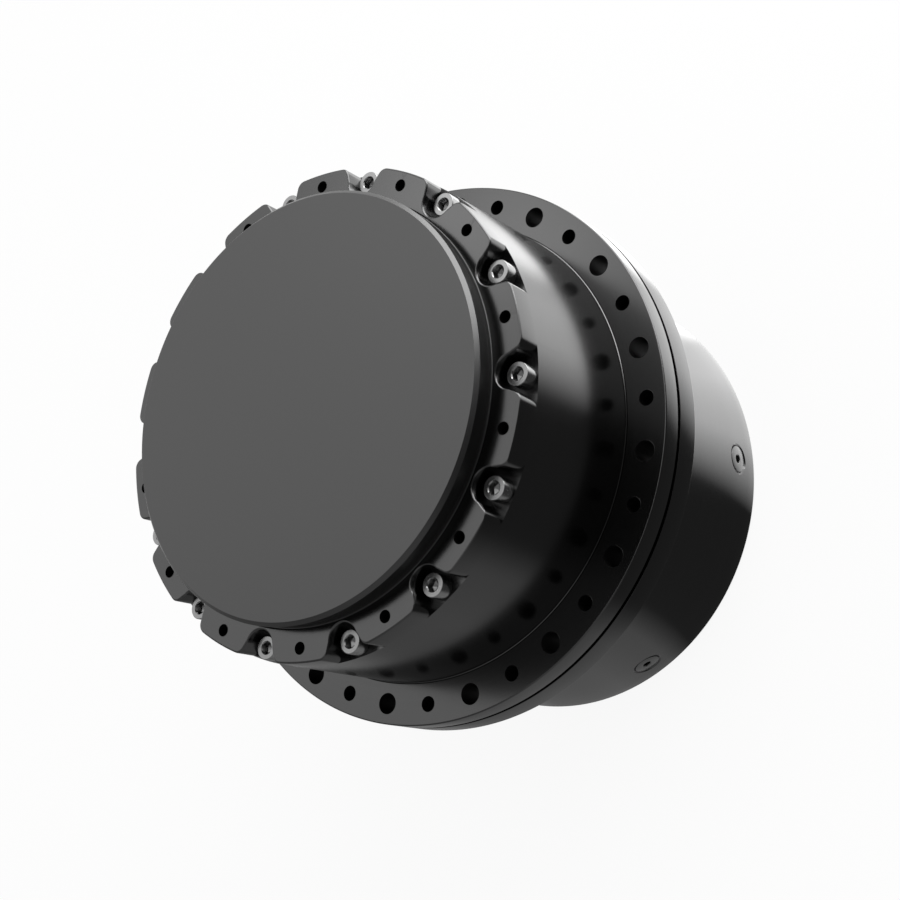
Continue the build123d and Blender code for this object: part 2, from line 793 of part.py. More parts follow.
with BuildPart() as carrier_cover:
    disc(planet_circle_r + carrier_rim, carrier_cover_z, carrier_cover_top)
    disc(shaft_r, carrier_cover_z, carrier_cover_top, Mode.SUBTRACT)
    drums(pin_r + fit_gap / 2, planet_circle_r, planets, 0, carrier_cover_z, carrier_cover_top, Mode.SUBTRACT)
    drums(
        carrier_screw_r + screw_gap, post_circle_r, planets, 180 / planets, carrier_cover_z, carrier_cover_top,
        Mode.SUBTRACT,
    )
carrier_cover.part.label = "carrier_cover"

with BuildPart() as post_screws:
    cap_screws(
        carrier_screw_r - fit_gap, carrier_head_r, cap_head_h, post_circle_r, planets, 180 / planets,
        carrier_cover_top, carrier_cover_z - post_screw_bite + screw_gap,
    )
post_screws.part.label = "post_screws"

# Turning side: drum, bearing, ring gear and cap

with BuildPart() as output_drum:
    turn(
        (foot_bore_r, drum_foot_z),
        (body_r, drum_foot_z),
        (body_r, pocket_z),
        (recess_r, pocket_z),
        (recess_r, cap_seat_z),
        (shoulder_r, cap_seat_z),
        (shoulder_r, shoulder_z),
        (drum_bore_r, shoulder_z),
        (drum_bore_r, race_top),
        (foot_bore_r, race_top),
    )
    with BuildSketch(Plane.XY.offset(pocket_z)) as crown:
        Circle(body_r)
        flank_x, flank_y = pocket_r * cos(flank_start), pocket_r * sin(flank_start)
        mouth_x = flank_x + flank_reach * cos(flank_angle)
        mouth_y = flank_y + flank_reach * sin(flank_angle)
        with PolarLocations(tie_circle_r, ring_holes):
            Circle(pocket_r, mode=Mode.SUBTRACT)
            Polygon(
                (flank_x, flank_y), (flank_x, -flank_y), (mouth_x, -mouth_y), (mouth_x, mouth_y),
                align=None, mode=Mode.SUBTRACT,
            )
        lobes = crown.vertices().filter_by(lambda v: abs(hypot(v.X, v.Y) - body_r) < fit_gap)
        fillet(lobes, lobe_r)
        Circle(recess_r, mode=Mode.SUBTRACT)
    extrude(amount=pocket_depth)
    face_edges = output_drum.faces().filter_by(Axis.Z).sort_by(Axis.Z)[-1].outer_wire().edges()
    chamfer(face_edges, fine_break)
    drums(ring_hole_r, ring_pitch_r, ring_holes, 180 / ring_holes, ring_z - ring_hole_depth, ring_z, Mode.SUBTRACT)
    drums(tie_r + screw_gap, tie_circle_r, ring_holes, 0, drum_foot_z, pocket_z, Mode.SUBTRACT)
    drums(
        ring_screw_r + fit_gap, ring_screw_circle_r, ring_screws_n, 180 / ring_screws_n,
        shoulder_z, shoulder_z + ring_screw_bite + screw_gap, Mode.SUBTRACT,
    )
    drums(cap_screw_r + screw_gap, cap_screw_circle_r, cap_screws_n, 0, shoulder_z, cap_seat_z, Mode.SUBTRACT)
    drums(
        cap_head_r + screw_gap, cap_screw_circle_r, cap_screws_n, 0, shoulder_z, cap_seat_z - cap_web_t,
        Mode.SUBTRACT,
    )
output_drum.part.label = "output_drum"

with BuildPart() as clamp_ring:
    turn(
        (clamp_lip_r, clamp_z),
        (body_r, clamp_z),
        (body_r, drum_foot_z),
        (foot_bore_r, drum_foot_z),
        (foot_bore_r, race_z),
        (clamp_lip_r, race_z),
    )
    drums(tie_thread_r + fit_gap, tie_circle_r, ring_holes, 0, clamp_z, drum_foot_z, Mode.SUBTRACT)
clamp_ring.part.label = "clamp_ring"

with BuildPart() as tie_screws:
    cap_screws(tie_r, tie_head_r, tie_head_h, tie_circle_r, ring_holes, 0, pocket_z, drum_foot_z + fit_gap)
    drums(tie_thread_r, tie_circle_r, ring_holes, 0, clamp_z + axial_gap, drum_foot_z + fit_gap)
tie_screws.part.label = "tie_screws"

with BuildPart() as race_outer:
    ring(race_out_r, race_mid_out_r, race_z, race_top)
    race_groove()
race_outer.part.label = "race_outer"

with BuildPart() as ring_gear:
    with BuildSketch(Plane.XY.offset(gear_z)):
        Circle(drum_bore_r - fit_gap)
        with BuildLine():
            gear_outline(
                ring_teeth,
                -backlash,
                ring_gear_pitch_r - (addendum - ring_tip_cut) * module,
                ring_gear_pitch_r + dedendum * module,
                pi / ring_teeth,
            )
        make_face(mode=Mode.SUBTRACT)
    extrude(amount=gear_top - gear_z)
    drums(
        ring_screw_r + screw_gap, ring_screw_circle_r, ring_screws_n, 180 / ring_screws_n, gear_z, gear_top,
        Mode.SUBTRACT,
    )
    drums(
        ring_head_r + screw_gap, ring_screw_circle_r, ring_screws_n, 180 / ring_screws_n,
        gear_z, gear_z + ring_head_h + screw_gap, Mode.SUBTRACT,
    )
ring_gear.part.label = "ring_gear"

with BuildPart() as ring_gear_screws:
    cap_screws(
        ring_screw_r, ring_head_r, ring_head_h, ring_screw_circle_r, ring_screws_n, 180 / ring_screws_n,
        gear_z + ring_head_h + screw_gap, shoulder_z + ring_screw_bite,
    )
ring_gear_screws.part.label = "ring_gear_screws"

# Front cap: neck in the drum's recess and the thin disc in front of it
with BuildPart() as front_cap:
    neck_r = recess_r - cap_groove_w
    disc_r = neck_r + cap_rim_w
    turn(
        (0, cap_seat_z + cap_hollow_h),
        (neck_r - cap_hollow_wall, cap_seat_z + cap_hollow_h),
        (neck_r - cap_hollow_wall, cap_seat_z),
        (neck_r, cap_seat_z),
        (neck_r, disc_z - cap_rim_t),
        (disc_r, disc_z - cap_rim_t),
        (disc_r, disc_z - fine_break),
        (disc_r - fine_break, disc_z),
        (0, disc_z),
    )
    cap_groove_z = cap_seat_z + seal_bed
    ring(neck_r + fit_gap, neck_r - seal_bed, cap_groove_z, cap_groove_z + seal_t + 2 * fit_gap, Mode.SUBTRACT)
    drums(
        cap_screw_r + fit_gap, cap_screw_circle_r, cap_screws_n, 0, cap_seat_z, cap_seat_z + cap_web_t,
        Mode.SUBTRACT,
    )
front_cap.part.label = "front_cap"

with BuildPart() as cap_seal:
    cap_seal_z = cap_groove_z + fit_gap
    ring(recess_r - fit_gap, neck_r - seal_bed + fit_gap, cap_seal_z, cap_seal_z + seal_t)
cap_seal.part.label = "cap_seal"

with BuildPart() as cap_bolts:
    cap_screws(
        cap_screw_r, cap_head_r, cap_head_h, cap_screw_circle_r, cap_screws_n, 0, cap_seat_z - cap_web_t,
        cap_seat_z + cap_web_t - screw_gap,
    )
cap_bolts.part.label = "cap_screws"

# Rotor

with BuildPart() as sun_shaft:
    turn(
        (0, rear_bearing_z - shaft_tail),
        (shaft_r, rear_bearing_z - shaft_tail),
        (shaft_r, rear_bearing_z + bearing_h),
        (shaft_mid_r, rear_bearing_z + bearing_h),
        (shaft_mid_r, front_bearing_z),
        (shaft_r, front_bearing_z),
        (shaft_r, front_bearing_z + bearing_h + hub_lip_t),
        (shaft_neck_r, front_bearing_z + bearing_h + hub_lip_t),
        (shaft_neck_r, gear_z),
        (sun_root_r, gear_z),
        (sun_root_r, carrier_cover_top),
        (0, carrier_cover_top),
    )
    with BuildSketch(Plane.XY.offset(gear_z)):
        with BuildLine():
            gear_outline(
                sun_teeth, backlash, sun_root_r, module * (sun_teeth / 2 + addendum), 0,
            )
        make_face()
    extrude(amount=planet_top - gear_z)
    disc(
        magnet_r + fit_gap, rear_bearing_z - shaft_tail, rear_bearing_z - shaft_tail + magnet_h - magnet_proud,
        Mode.SUBTRACT,
    )
sun_shaft.part.label = "sun_shaft"

with BuildPart() as encoder_magnet:
    magnet_low = rear_bearing_z - shaft_tail - magnet_proud
    disc(magnet_r, magnet_low, magnet_low + magnet_h)
encoder_magnet.part.label = "encoder_magnet"

with BuildPart() as rotor_core:
    middle_z = (stator_z + stator_top) / 2
    ring(rotor_r, rotor_rim_r, stator_z, stator_top)
    ring(rotor_rim_r + fit_gap, rotor_bore_r, middle_z - rotor_web_t / 2, middle_z + rotor_web_t / 2)
    ring(
        rotor_hub_r, rotor_bore_r, web_z + rear_hub_h + hub_lip_t + rotor_hub_rear_gap,
        plate_z - rotor_hub_front_gap,
    )
    drums(
        rotor_hole_r, (rotor_rim_r + rotor_hub_r) / 2, rotor_holes_n, 0,
        middle_z - rotor_web_t / 2, middle_z + rotor_web_t / 2, Mode.SUBTRACT,
    )
rotor_core.part.label = "rotor_core"

with BuildPart() as one_magnet:
    with BuildSketch(Plane.XY.offset(stator_z)):
        Circle(magnet_out_r)
        Circle(magnet_in_r, mode=Mode.SUBTRACT)
        half_arc = pi / magnets * magnet_cover
        Polygon(
            (0, 0), (flange_r, -flange_r * tan(half_arc)), (flange_r, flange_r * tan(half_arc)),
            align=None, mode=Mode.INTERSECT,
        )
    extrude(amount=stator_top - stator_z)

with BuildPart() as rotor_magnets:
    with PolarLocations(0, magnets):
        add(one_magnet.part)
rotor_magnets.part.label = "rotor_magnets"

with BuildPart() as rear_bearing_inner:
    ring(bearing_in_r + bearing_ring_t, bearing_in_r, rear_bearing_z, rear_bearing_z + bearing_h)
    with BuildSketch(Plane.XZ):
        with Locations((bearing_track_r, rear_bearing_z + bearing_h / 2)):
            Circle(ball_r + fit_gap)
    revolve(axis=Axis.Z, mode=Mode.SUBTRACT)
rear_bearing_inner.part.label = "rear_bearing_inner"

with BuildPart() as front_bearing_inner:
    add(rear_bearing_inner.part.moved(Location((0, 0, front_bearing_z - rear_bearing_z))))
front_bearing_inner.part.label = "front_bearing_inner"

# Pieces that turn by themselves

with BuildPart() as rear_balls:
    with Locations((0, 0, rear_bearing_z + bearing_h / 2)):
        with PolarLocations(bearing_track_r, ball_n):
            Sphere(ball_r)
rear_balls.part.label = "rear_balls"

with BuildPart() as front_balls:
    add(rear_balls.part.moved(Location((0, 0, front_bearing_z - rear_bearing_z))))
front_balls.part.label = "front_balls"

# Rollers lie crosswise in turn, each at 45 degrees to the axis
with BuildPart() as crossed_rollers:
    with Locations((0, 0, roller_z)):
        with PolarLocations(roller_circle_r, roller_n // 2):
            Cylinder(roller_r, 2 * roller_r - fit_gap, rotation=(0, 45, 0))
        with PolarLocations(roller_circle_r, roller_n // 2, start_angle=360 / roller_n):
            Cylinder(roller_r, 2 * roller_r - fit_gap, rotation=(0, -45, 0))
crossed_rollers.part.label = "crossed_rollers"

# Planet at rest on the X axis, with a tooth space towards the sun and towards the ring gear
with BuildPart() as planet:
    with BuildSketch(Plane.XY.offset(planet_z)):
        with BuildLine():
            gear_outline(
                planet_teeth,
                backlash,
                module * (planet_teeth / 2 - dedendum),
                module * (planet_teeth / 2 + addendum),
                pi / planet_teeth,
            )
        make_face()
        Circle(planet_bore_r, mode=Mode.SUBTRACT)
    extrude(amount=planet_top - planet_z)

with BuildPart() as bush:
    ring(bush_r, pin_r + fit_gap, planet_z, planet_top)

pieces = [
    rear_housing, gearbox_flange, flange_screws, output_seal, rear_cover, cover_screws, driver_board, board_screws,
    encoder_chip, power_transistors, bus_capacitors, controller_chip, power_connector, signal_connectors,
    phase_leads, stator_core, stator_insulators, winding_u, winding_v, winding_w, rear_bearing_outer,
    front_bearing_outer, race_inner, planet_carrier, carrier_screws, planet_pins, carrier_cover, post_screws,
    output_drum, clamp_ring, tie_screws, race_outer, ring_gear, ring_gear_screws, front_cap, cap_seal, cap_bolts,
    sun_shaft, encoder_magnet, rotor_core, rotor_magnets, rear_bearing_inner, front_bearing_inner, rear_balls,
    front_balls, crossed_rollers,
]

os.makedirs("parts", exist_ok=True)
for piece in pieces:
    export_step(piece.part, f"parts/{piece.part.label}.step")

for k in range(planets):
    place = Location((0, 0, 0), (0, 0, 360 * k / planets)) * Location((planet_circle_r, 0, 0))
    for name, source in (("planet_gear", planet), ("planet_bush", bush)):
        copy = source.part.moved(place)
        copy.label = f"{name}_{k + 1}"
        export_step(copy, f"parts/{copy.label}.step")
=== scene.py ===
"""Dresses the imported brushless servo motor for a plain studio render.

The visible housings and screws are worked out again as fine surfaces over their solids, with softened edges, and every
other solid keeps its shape and gets a finish. All shapes are written in millimetres and put into the meshes in metres.
"""

from __future__ import annotations

import json
import logging
import math
from dataclasses import dataclass, field
from enum import Enum
from typing import Mapping, Protocol, Sequence, Union

import bmesh
import bpy
import numpy as np
import numpy.typing as npt
from mathutils import Matrix, Vector
from mathutils.geometry import delaunay_2d_cdt

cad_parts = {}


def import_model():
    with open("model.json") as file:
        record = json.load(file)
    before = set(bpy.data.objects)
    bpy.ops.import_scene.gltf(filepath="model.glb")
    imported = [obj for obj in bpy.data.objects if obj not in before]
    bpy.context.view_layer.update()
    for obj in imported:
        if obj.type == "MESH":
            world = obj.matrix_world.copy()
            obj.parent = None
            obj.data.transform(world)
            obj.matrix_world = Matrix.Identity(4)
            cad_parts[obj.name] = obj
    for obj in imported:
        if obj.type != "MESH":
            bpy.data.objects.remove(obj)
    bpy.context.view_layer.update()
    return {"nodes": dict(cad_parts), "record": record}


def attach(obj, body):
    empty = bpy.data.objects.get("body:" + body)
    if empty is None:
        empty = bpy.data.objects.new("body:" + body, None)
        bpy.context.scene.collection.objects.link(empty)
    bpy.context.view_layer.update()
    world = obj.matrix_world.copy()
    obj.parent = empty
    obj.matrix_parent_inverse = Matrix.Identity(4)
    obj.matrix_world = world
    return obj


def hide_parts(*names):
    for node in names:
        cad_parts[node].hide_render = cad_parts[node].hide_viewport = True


log = logging.getLogger("servo")
Floats = npt.NDArray[np.float64]
Number = Union[Floats, float]
Place = tuple[float, float]
Object = bpy.types.Object
Material = bpy.types.Material
Socket = bpy.types.NodeSocket
Value = Union[Socket, float, Sequence[float]]

MM = 0.001  # metres in a millimetre
MERGE = 1e-6  # points nearer than this are one, in metres
WELD = 1e-7  # points of a flat fill nearer than this are one, in millimetres
NOTHING = 1e-9  # a length below this is none, in millimetres
LEVEL = 0.999  # a face whose normal rises more than this is level


# Surfaces


@dataclass
class Surface:
    """A closed surface gathered from strips between loops and from flat fills.

    Args:
        points: Blocks of points in millimetres.
        faces: Faces as tuples of point numbers.
        count: How many points the blocks hold.
        bores: Numbers of the faces on the walls of holes, which are rougher and painted darker as the shade inside the
            holes.
    """

    points: list[Floats] = field(default_factory=list)
    faces: list[tuple[int, ...]] = field(default_factory=list)
    count: int = 0
    bores: set[int] = field(default_factory=set)

    def _add(self, block: Floats) -> int:
        """Keeps a block of points and returns the number of its first one."""
        first = self.count
        flat = np.asarray(block, float).reshape(-1, 3)
        self.points.append(flat)
        self.count += len(flat)
        return first

    def stack(self, rows: Floats, closed: bool = True) -> None:
        """Joins each row of points to the next with quads.

        Args:
            rows: Array of rows by points by three.
            closed: Whether each row is a loop.
        """
        count, steps, _ = rows.shape
        row = self._add(rows) + np.arange(count - 1)[:, None] * steps
        here = np.arange(steps if closed else steps - 1)
        after = (here + 1) % steps
        quads = np.stack([row + here, row + after, row + steps + after, row + steps + here], axis=-1)
        self.faces.extend(map(tuple, quads.reshape(-1, 4).tolist()))

    def fill(self, outline: Floats, *holes: Floats) -> None:
        """Fills a convex outline with one face, or a level region that has convex holes with even triangles.

        A triangle whose corners are all on one hole's loop lies inside that hole and is left out.

        Args:
            outline: Its outer loop.
            holes: The loops left out.
        """
        points = np.vstack([outline, *holes])
        first = self._add(points)
        if not holes:
            self.faces.append(tuple(range(first, first + len(points))))
            return
        borders: list[tuple[int, int]] = []
        owner: list[int] = []
        for number, loop in enumerate((outline, *holes)):
            start, size = len(owner), len(loop)
            borders += [(start + k, start + (k + 1) % size) for k in range(size)]
            owner += [number] * size
        inside = 1  # the triangles within the borders
        made = delaunay_2d_cdt([Vector(place) for place in points[:, :2]], borders, [], inside, WELD)
        origin = [sources[0] for sources in made[3]]
        for face in made[2]:
            corners = [origin[corner] for corner in face]
            owners = {owner[corner] for corner in corners}
            if len(owners) > 1 or owners == {0}:
                self.faces.append(tuple(first + corner for corner in corners))

    def take(self, other: Surface, turn: Floats, shift: Floats) -> None:
        """Adds a turned and shifted copy of another surface.

        Args:
            other: The surface to copy.
            turn: Three by three matrix.
            shift: Where the copy's origin goes.
        """
        first = self._add(np.vstack(other.points) @ turn.T + shift)
        self.bores.update(len(self.faces) + index for index in other.bores)
        self.faces.extend(tuple(first + index for index in face) for face in other.faces)

    def piece(self, name: str, material: Material, crease: float = 13.0) -> Object:
        """Makes the mesh, in metres, with its doubles merged and its faces pointing outwards.

        Args:
            name: The piece's name.
            material: Its finish.
            crease: Edges that turn more than this many degrees stay sharp, as do those of level faces, which
                keeps the shading of a flat face even beside its softened edge.

        Returns:
            The new object, linked to the scene.
        """
        data = bpy.data.meshes.new(name)
        data.from_pydata((np.vstack(self.points) * MM).tolist(), [], self.faces)
        work = bmesh.new()
        work.from_mesh(data)
        # Marks the walls of holes, which the finish paints darker as the shade inside the holes.
        bore = work.faces.layers.float.new("bore")
        for index, face in enumerate(work.faces):
            face[bore] = float(index in self.bores)
        bmesh.ops.remove_doubles(work, verts=work.verts, dist=MERGE)
        bmesh.ops.dissolve_degenerate(work, edges=work.edges, dist=MERGE)
        bmesh.ops.recalc_face_normals(work, faces=work.faces)
        level = {face: abs(face.normal.z) > LEVEL for face in work.faces}
        for edge in (edge for edge in work.edges if edge.is_manifold):
            one, two = edge.link_faces
            edge.smooth = level[one] == level[two] and edge.calc_face_angle() < math.radians(crease)
        work.to_mesh(data)
        work.free()
        data.polygons.foreach_set("use_smooth", np.ones(len(data.polygons), bool))
        even_out(data)
        data.materials.append(material)
        made = bpy.data.objects.new(name, data)
        bpy.context.scene.collection.objects.link(made)
        return made


def even_out(data: bpy.types.Mesh) -> None:
    """Gives the corners of level faces a normal of exactly (0, 0, 1) or (0, 0, -1)."""
    corner = np.empty(len(data.loops) * 3)
    data.corner_normals.foreach_get("vector", corner)
    corner = corner.reshape(-1, 3)
    face = np.empty(len(data.polygons) * 3)
    data.polygons.foreach_get("normal", face)
    size = np.empty(len(data.polygons), int)
    data.polygons.foreach_get("loop_total", size)
    upward = np.repeat(face.reshape(-1, 3)[:, 2], size)
    level = np.abs(upward) > LEVEL
    corner[level] = np.stack([0 * upward, 0 * upward, np.sign(upward)], axis=-1)[level]
    data.normals_split_custom_set(corner.tolist())


def even(count: int, start: float = 0.0) -> Floats:
    """Evenly spaced angles over a full turn, from a start angle in radians."""
    return start + 2 * np.pi * np.arange(count) / count


def facing(angle: Number) -> Floats:
    """Unit vectors (cos a, sin a)."""
    return np.stack([np.cos(angle), np.sin(angle)], axis=-1)


def polar(radius: Number, angle: Floats, level: Number, centre: Place = (0.0, 0.0)) -> Floats:
    """Points about a centre line: (x0 + r cos a, y0 + r sin a, level)."""
    x, y = centre[0] + radius * np.cos(angle), centre[1] + radius * np.sin(angle)
    return np.stack(np.broadcast_arrays(x, y, level), axis=-1)


def on_circle(radius: float, count: int, start: float = 0.0) -> list[Place]:
    """Evenly spaced places on a circle about the motor axis, from a start angle in degrees."""
    return [(x, y) for x, y in (radius * facing(even(count, math.radians(start)))).tolist()]


def turned_strip(places: Floats, steps: int) -> Floats:
    """Closed loops about the motor axis, one for each (radius, level) place."""
    return polar(places[:, 0, None], even(steps), places[:, 1, None])


@dataclass(frozen=True)
class Corner:
    """One corner of a turned profile, in millimetres.

    Args:
        radius: Distance from the motor axis.
        level: Height above the rear face.
        soft: Radius of the rounding there.
    """

    radius: float
    level: float
    soft: float = 0.0

    def place(self) -> Floats:
        """The corner as an array."""
        return np.array([self.radius, self.level])


def profile(*rows: tuple[float, ...]) -> list[Corner]:
    """Corners from rows of radius, level and, where it has one, rounding."""
    return [Corner(*row) for row in rows]


def softened(before: Corner, corner: Corner, after: Corner, turn_step: float = 11.5) -> Floats:
    """Points of a corner's rounding: an arc that is tangent to both edges, or the corner itself.

    Args:
        before: The corner before it.
        corner: The corner to round.
        after: The corner after it.
        turn_step: Largest turn between two of its points, in degrees.

    Returns:
        Array of (radius, level) points.
    """
    place = corner.place()
    if corner.soft <= 0:
        return place[None, :]
    back, ahead = before.place() - place, after.place() - place
    back /= np.hypot(*back)
    ahead /= np.hypot(*ahead)
    half = 0.5 * math.acos(float(np.clip(back @ ahead, -1, 1)))
    reach = corner.soft / math.tan(half)
    middle = place + (back + ahead) / np.hypot(*(back + ahead)) * corner.soft / math.sin(half)
    start, end = place + back * reach - middle, place + ahead * reach - middle
    sweep = math.pi - 2 * half
    side = math.copysign(1.0, float(start[0] * end[1] - start[1] * end[0]))
    count = max(2, math.ceil(math.degrees(sweep) / turn_step))
    angle = math.atan2(start[1], start[0]) + side * sweep * np.arange(count + 1) / count
    return middle + corner.soft * facing(angle)


@dataclass
class Hole:
    """A round hole along the axis, with one step in its width at most.

    Args:
        centre: Its place.
        radius: Its radius at the mouth.
        mouth: Level of the face that it opens in.
        end: Level where it ends.
        through: Whether it opens again at its end.
        soft: Rounding of its edges.
        step: Radius beyond a shoulder, where it has one.
        step_level: Level of the shoulder.
        steps: Points round it.
    """

    centre: Place
    radius: float
    mouth: float
    end: float
    through: bool = False
    soft: float = 0.06
    step: float | None = None
    step_level: float = 0.0
    steps: int = 40

    def rounding(self, radius: float, level: float, inward: float) -> list[Place]:
        """The rounded edge from a face into the hole: r = radius + s sin a, level + s (1 - cos a) inwards."""
        bend = np.radians([90.0, 60.0, 30.0, 0.0])
        turn = [(math.sin(a), 1 - math.cos(a)) for a in bend]
        return [(radius + self.soft * out, level + inward * self.soft * down) for out, down in turn]

    def cut(self, surface: Surface) -> tuple[Floats, Floats]:
        """Adds the hole's wall.

        Args:
            surface: Takes the wall.

        Returns:
            Its loops at the mouth and at the end.
        """
        inward = math.copysign(1.0, self.end - self.mouth)
        last = self.radius if self.step is None else self.step
        rows = self.rounding(self.radius, self.mouth, inward)
        if self.step is not None:
            rows += [(self.radius, self.step_level), (self.step, self.step_level)]
        rows += self.rounding(last, self.end, -inward)[::-1] if self.through else [(last, self.end)]
        loops = np.stack([polar(radius, even(self.steps), level, self.centre) for radius, level in rows])
        first = len(surface.faces)
        surface.stack(loops)
        if not self.through:
            surface.fill(loops[-1])
        # The wall's faces get the painted shade of the holes' insides.
        surface.bores.update(range(first, len(surface.faces)))
        return loops[0], loops[-1]


def turned(surface: Surface, corners: Sequence[Corner], holes: Sequence[Hole] = (), steps: int = 384) -> None:
    """Revolves a closed profile about the motor axis, its flat faces drilled.

    Each edge is a strip between two loops. An edge at one level that holds a hole's mouth or end is a flat fill with
    that loop left out.

    Args:
        surface: Takes the strips and fills.
        corners: The profile, closed from its last corner to its first.
        holes: Holes in its flat faces.
        steps: Points round the axis.
    """
    drilled: dict[float, list[tuple[float, Floats]]] = {}
    for hole in holes:
        reach = math.hypot(*hole.centre)
        first, last = hole.cut(surface)
        drilled.setdefault(round(hole.mouth, 3), []).append((reach, first))
        if hole.through:
            drilled.setdefault(round(hole.end, 3), []).append((reach, last))
    total = len(corners)
    arcs = [softened(corners[k - 1], corners[k], corners[(k + 1) % total]) for k in range(total)]
    for k in range(total):
        if len(arcs[k]) > 1:
            surface.stack(turned_strip(arcs[k], steps))
        start, end = arcs[k][-1], arcs[(k + 1) % total][0]
        low, high = sorted((start[0], end[0]))
        if high < NOTHING:
            continue
        found = [] if abs(start[1] - end[1]) > NOTHING else drilled.get(round(float(start[1]), 3), [])
        inside = [loop for reach, loop in found if low < reach < high]
        loops = turned_strip(np.array([start, end]), steps)
        outer, inner = loops if start[0] > end[0] else loops[::-1]
        if low < NOTHING:
            surface.fill(outer, *inside)
        elif inside:
            surface.fill(outer, inner, *inside)
        else:
            surface.stack(loops)


# Finishes


@dataclass(frozen=True)
class Graph:
    """A node tree with short calls that add to it."""

    tree: bpy.types.NodeTree

    def feed(self, node: bpy.types.Node, inputs: Mapping[str | int, Value]) -> None:
        """Links each socket, and sets each number or colour, at its input.

        Args:
            node: The node to feed.
            inputs: What its named or numbered inputs get.
        """
        for name, value in inputs.items():
            if isinstance(value, Socket):
                self.tree.links.new(value, node.inputs[name])
            else:
                node.inputs[name].default_value = value

    def node(self, kind: str, inputs: Mapping[str | int, Value] | None = None, **options: str) -> bpy.types.Node:
        """Adds a shader node.

        Args:
            kind: Its type, without the word that all of them start with.
            inputs: What its inputs get.
            options: Its own properties.

        Returns:
            The node.
        """
        made = self.tree.nodes.new("ShaderNode" + kind)
        for name, option in options.items():
            setattr(made, name, option)
        self.feed(made, inputs or {})
        return made

    def math(self, operation: str, *values: Value) -> Socket:
        """One Math node."""
        return self.node("Math", dict(enumerate(values)), operation=operation).outputs[0]

    def tint(self, share: Socket, one: Value, two: Value) -> Socket:
        """A mix of two colours."""
        return self.node("Mix", {"Factor": share, "A": one, "B": two}, data_type="RGBA").outputs["Result"]


class Pattern(Enum):
    """How a finish varies over its surface."""

    BLASTED = "fine even grain"
    TURNED = "rings about the motor axis"
    STACKED = "thin sheets one on another"
    WOUND = "rows of wire about the motor axis"
    TRACED = "copper tracks under a mask"


@dataclass(frozen=True)
class Finish:
    """One finish, with its pattern worked out from Object coordinates.

    Args:
        slot: The record's material slot.
        colour: Base colour, linear.
        metal: Metallic share.
        roughness: Mean roughness.
        pattern: How it varies.
        pitch: Size of the pattern's marks, in millimetres.
        relief: Height of its bump, in millimetres.
        spread: How far colour and roughness vary, as a share.
        coat: Weight of a clear coat.
        bore: Colour and roughness on the walls of holes, where they differ; the darker colour is painted shade inside
            the holes.
        track_light: How much lighter tracks are than the board.
    """

    slot: str
    colour: tuple[float, float, float]
    metal: float
    roughness: float
    pattern: Pattern = Pattern.BLASTED
    pitch: float = 0.3
    relief: float = 0.004
    spread: float = 0.12
    coat: float = 0.0
    bore: Place | None = None
    track_light: float = 2.2

    def _marks(self, graph: Graph) -> Socket:
        """The pattern: noise of the place, or of the distance from the motor axis and the level.

        Args:
            graph: The material's nodes.

        Returns:
            From 0 to 1 over its marks.
        """
        where, kind = graph.node("TexCoord").outputs["Object"], "3D"
        if self.pattern not in (Pattern.BLASTED, Pattern.TRACED):
            split = graph.node("SeparateXYZ", {0: where}).outputs
            section: dict[str | int, Value] = {"Y": split["Z"]}
            if self.pattern is not Pattern.STACKED:
                flat = graph.node("CombineXYZ", {"X": split["X"], "Y": split["Y"]}).outputs[0]
                section["X"] = graph.node("VectorMath", {0: flat}, operation="LENGTH").outputs["Value"]
            where, kind = graph.node("CombineXYZ", section).outputs[0], "2D"
        scale = 1 / (self.pitch * MM)
        noise = graph.node("TexNoise", {"Vector": where, "Scale": scale, "Detail": 2.0}, noise_dimensions=kind)
        return noise.outputs["Fac"]

    def material(self) -> Material:
        """Builds the finish's node tree."""
        made = bpy.data.materials.new(self.slot)
        made.use_nodes = True
        graph = Graph(made.node_tree)
        marks = self._marks(graph)
        less, more = 1 - self.spread, 1 + self.spread
        lift = self.track_light if self.pattern is Pattern.TRACED else more
        dark = (*(channel * less for channel in self.colour), 1)
        light = (*(min(1.0, channel * lift) for channel in self.colour), 1)
        colour = graph.tint(marks, dark, light)
        span = {"Value": marks, "To Min": self.roughness * less, "To Max": self.roughness * more}
        grain = graph.node("MapRange", span).outputs["Result"]
        # Painted shade: the walls of holes get a flat dark grey in place of the shade inside them, and a rougher
        # finish.
        if self.bore:
            wall = graph.node("Attribute", attribute_name="bore").outputs["Fac"]
            grey, coarse = self.bore
            colour = graph.tint(wall, colour, (grey, grey, grey, 1))
            grain = graph.node("Mix", {"Factor": wall, "A": grain, "B": coarse}).outputs["Result"]
        bump = graph.node("Bump", {"Distance": self.relief * MM, "Height": marks}).outputs["Normal"]
        shader = made.node_tree.nodes["Principled BSDF"]
        graph.feed(shader, {"Metallic": self.metal, "Coat Weight": self.coat})
        graph.feed(shader, {"Base Color": colour, "Roughness": grain, "Normal": bump})
        return made


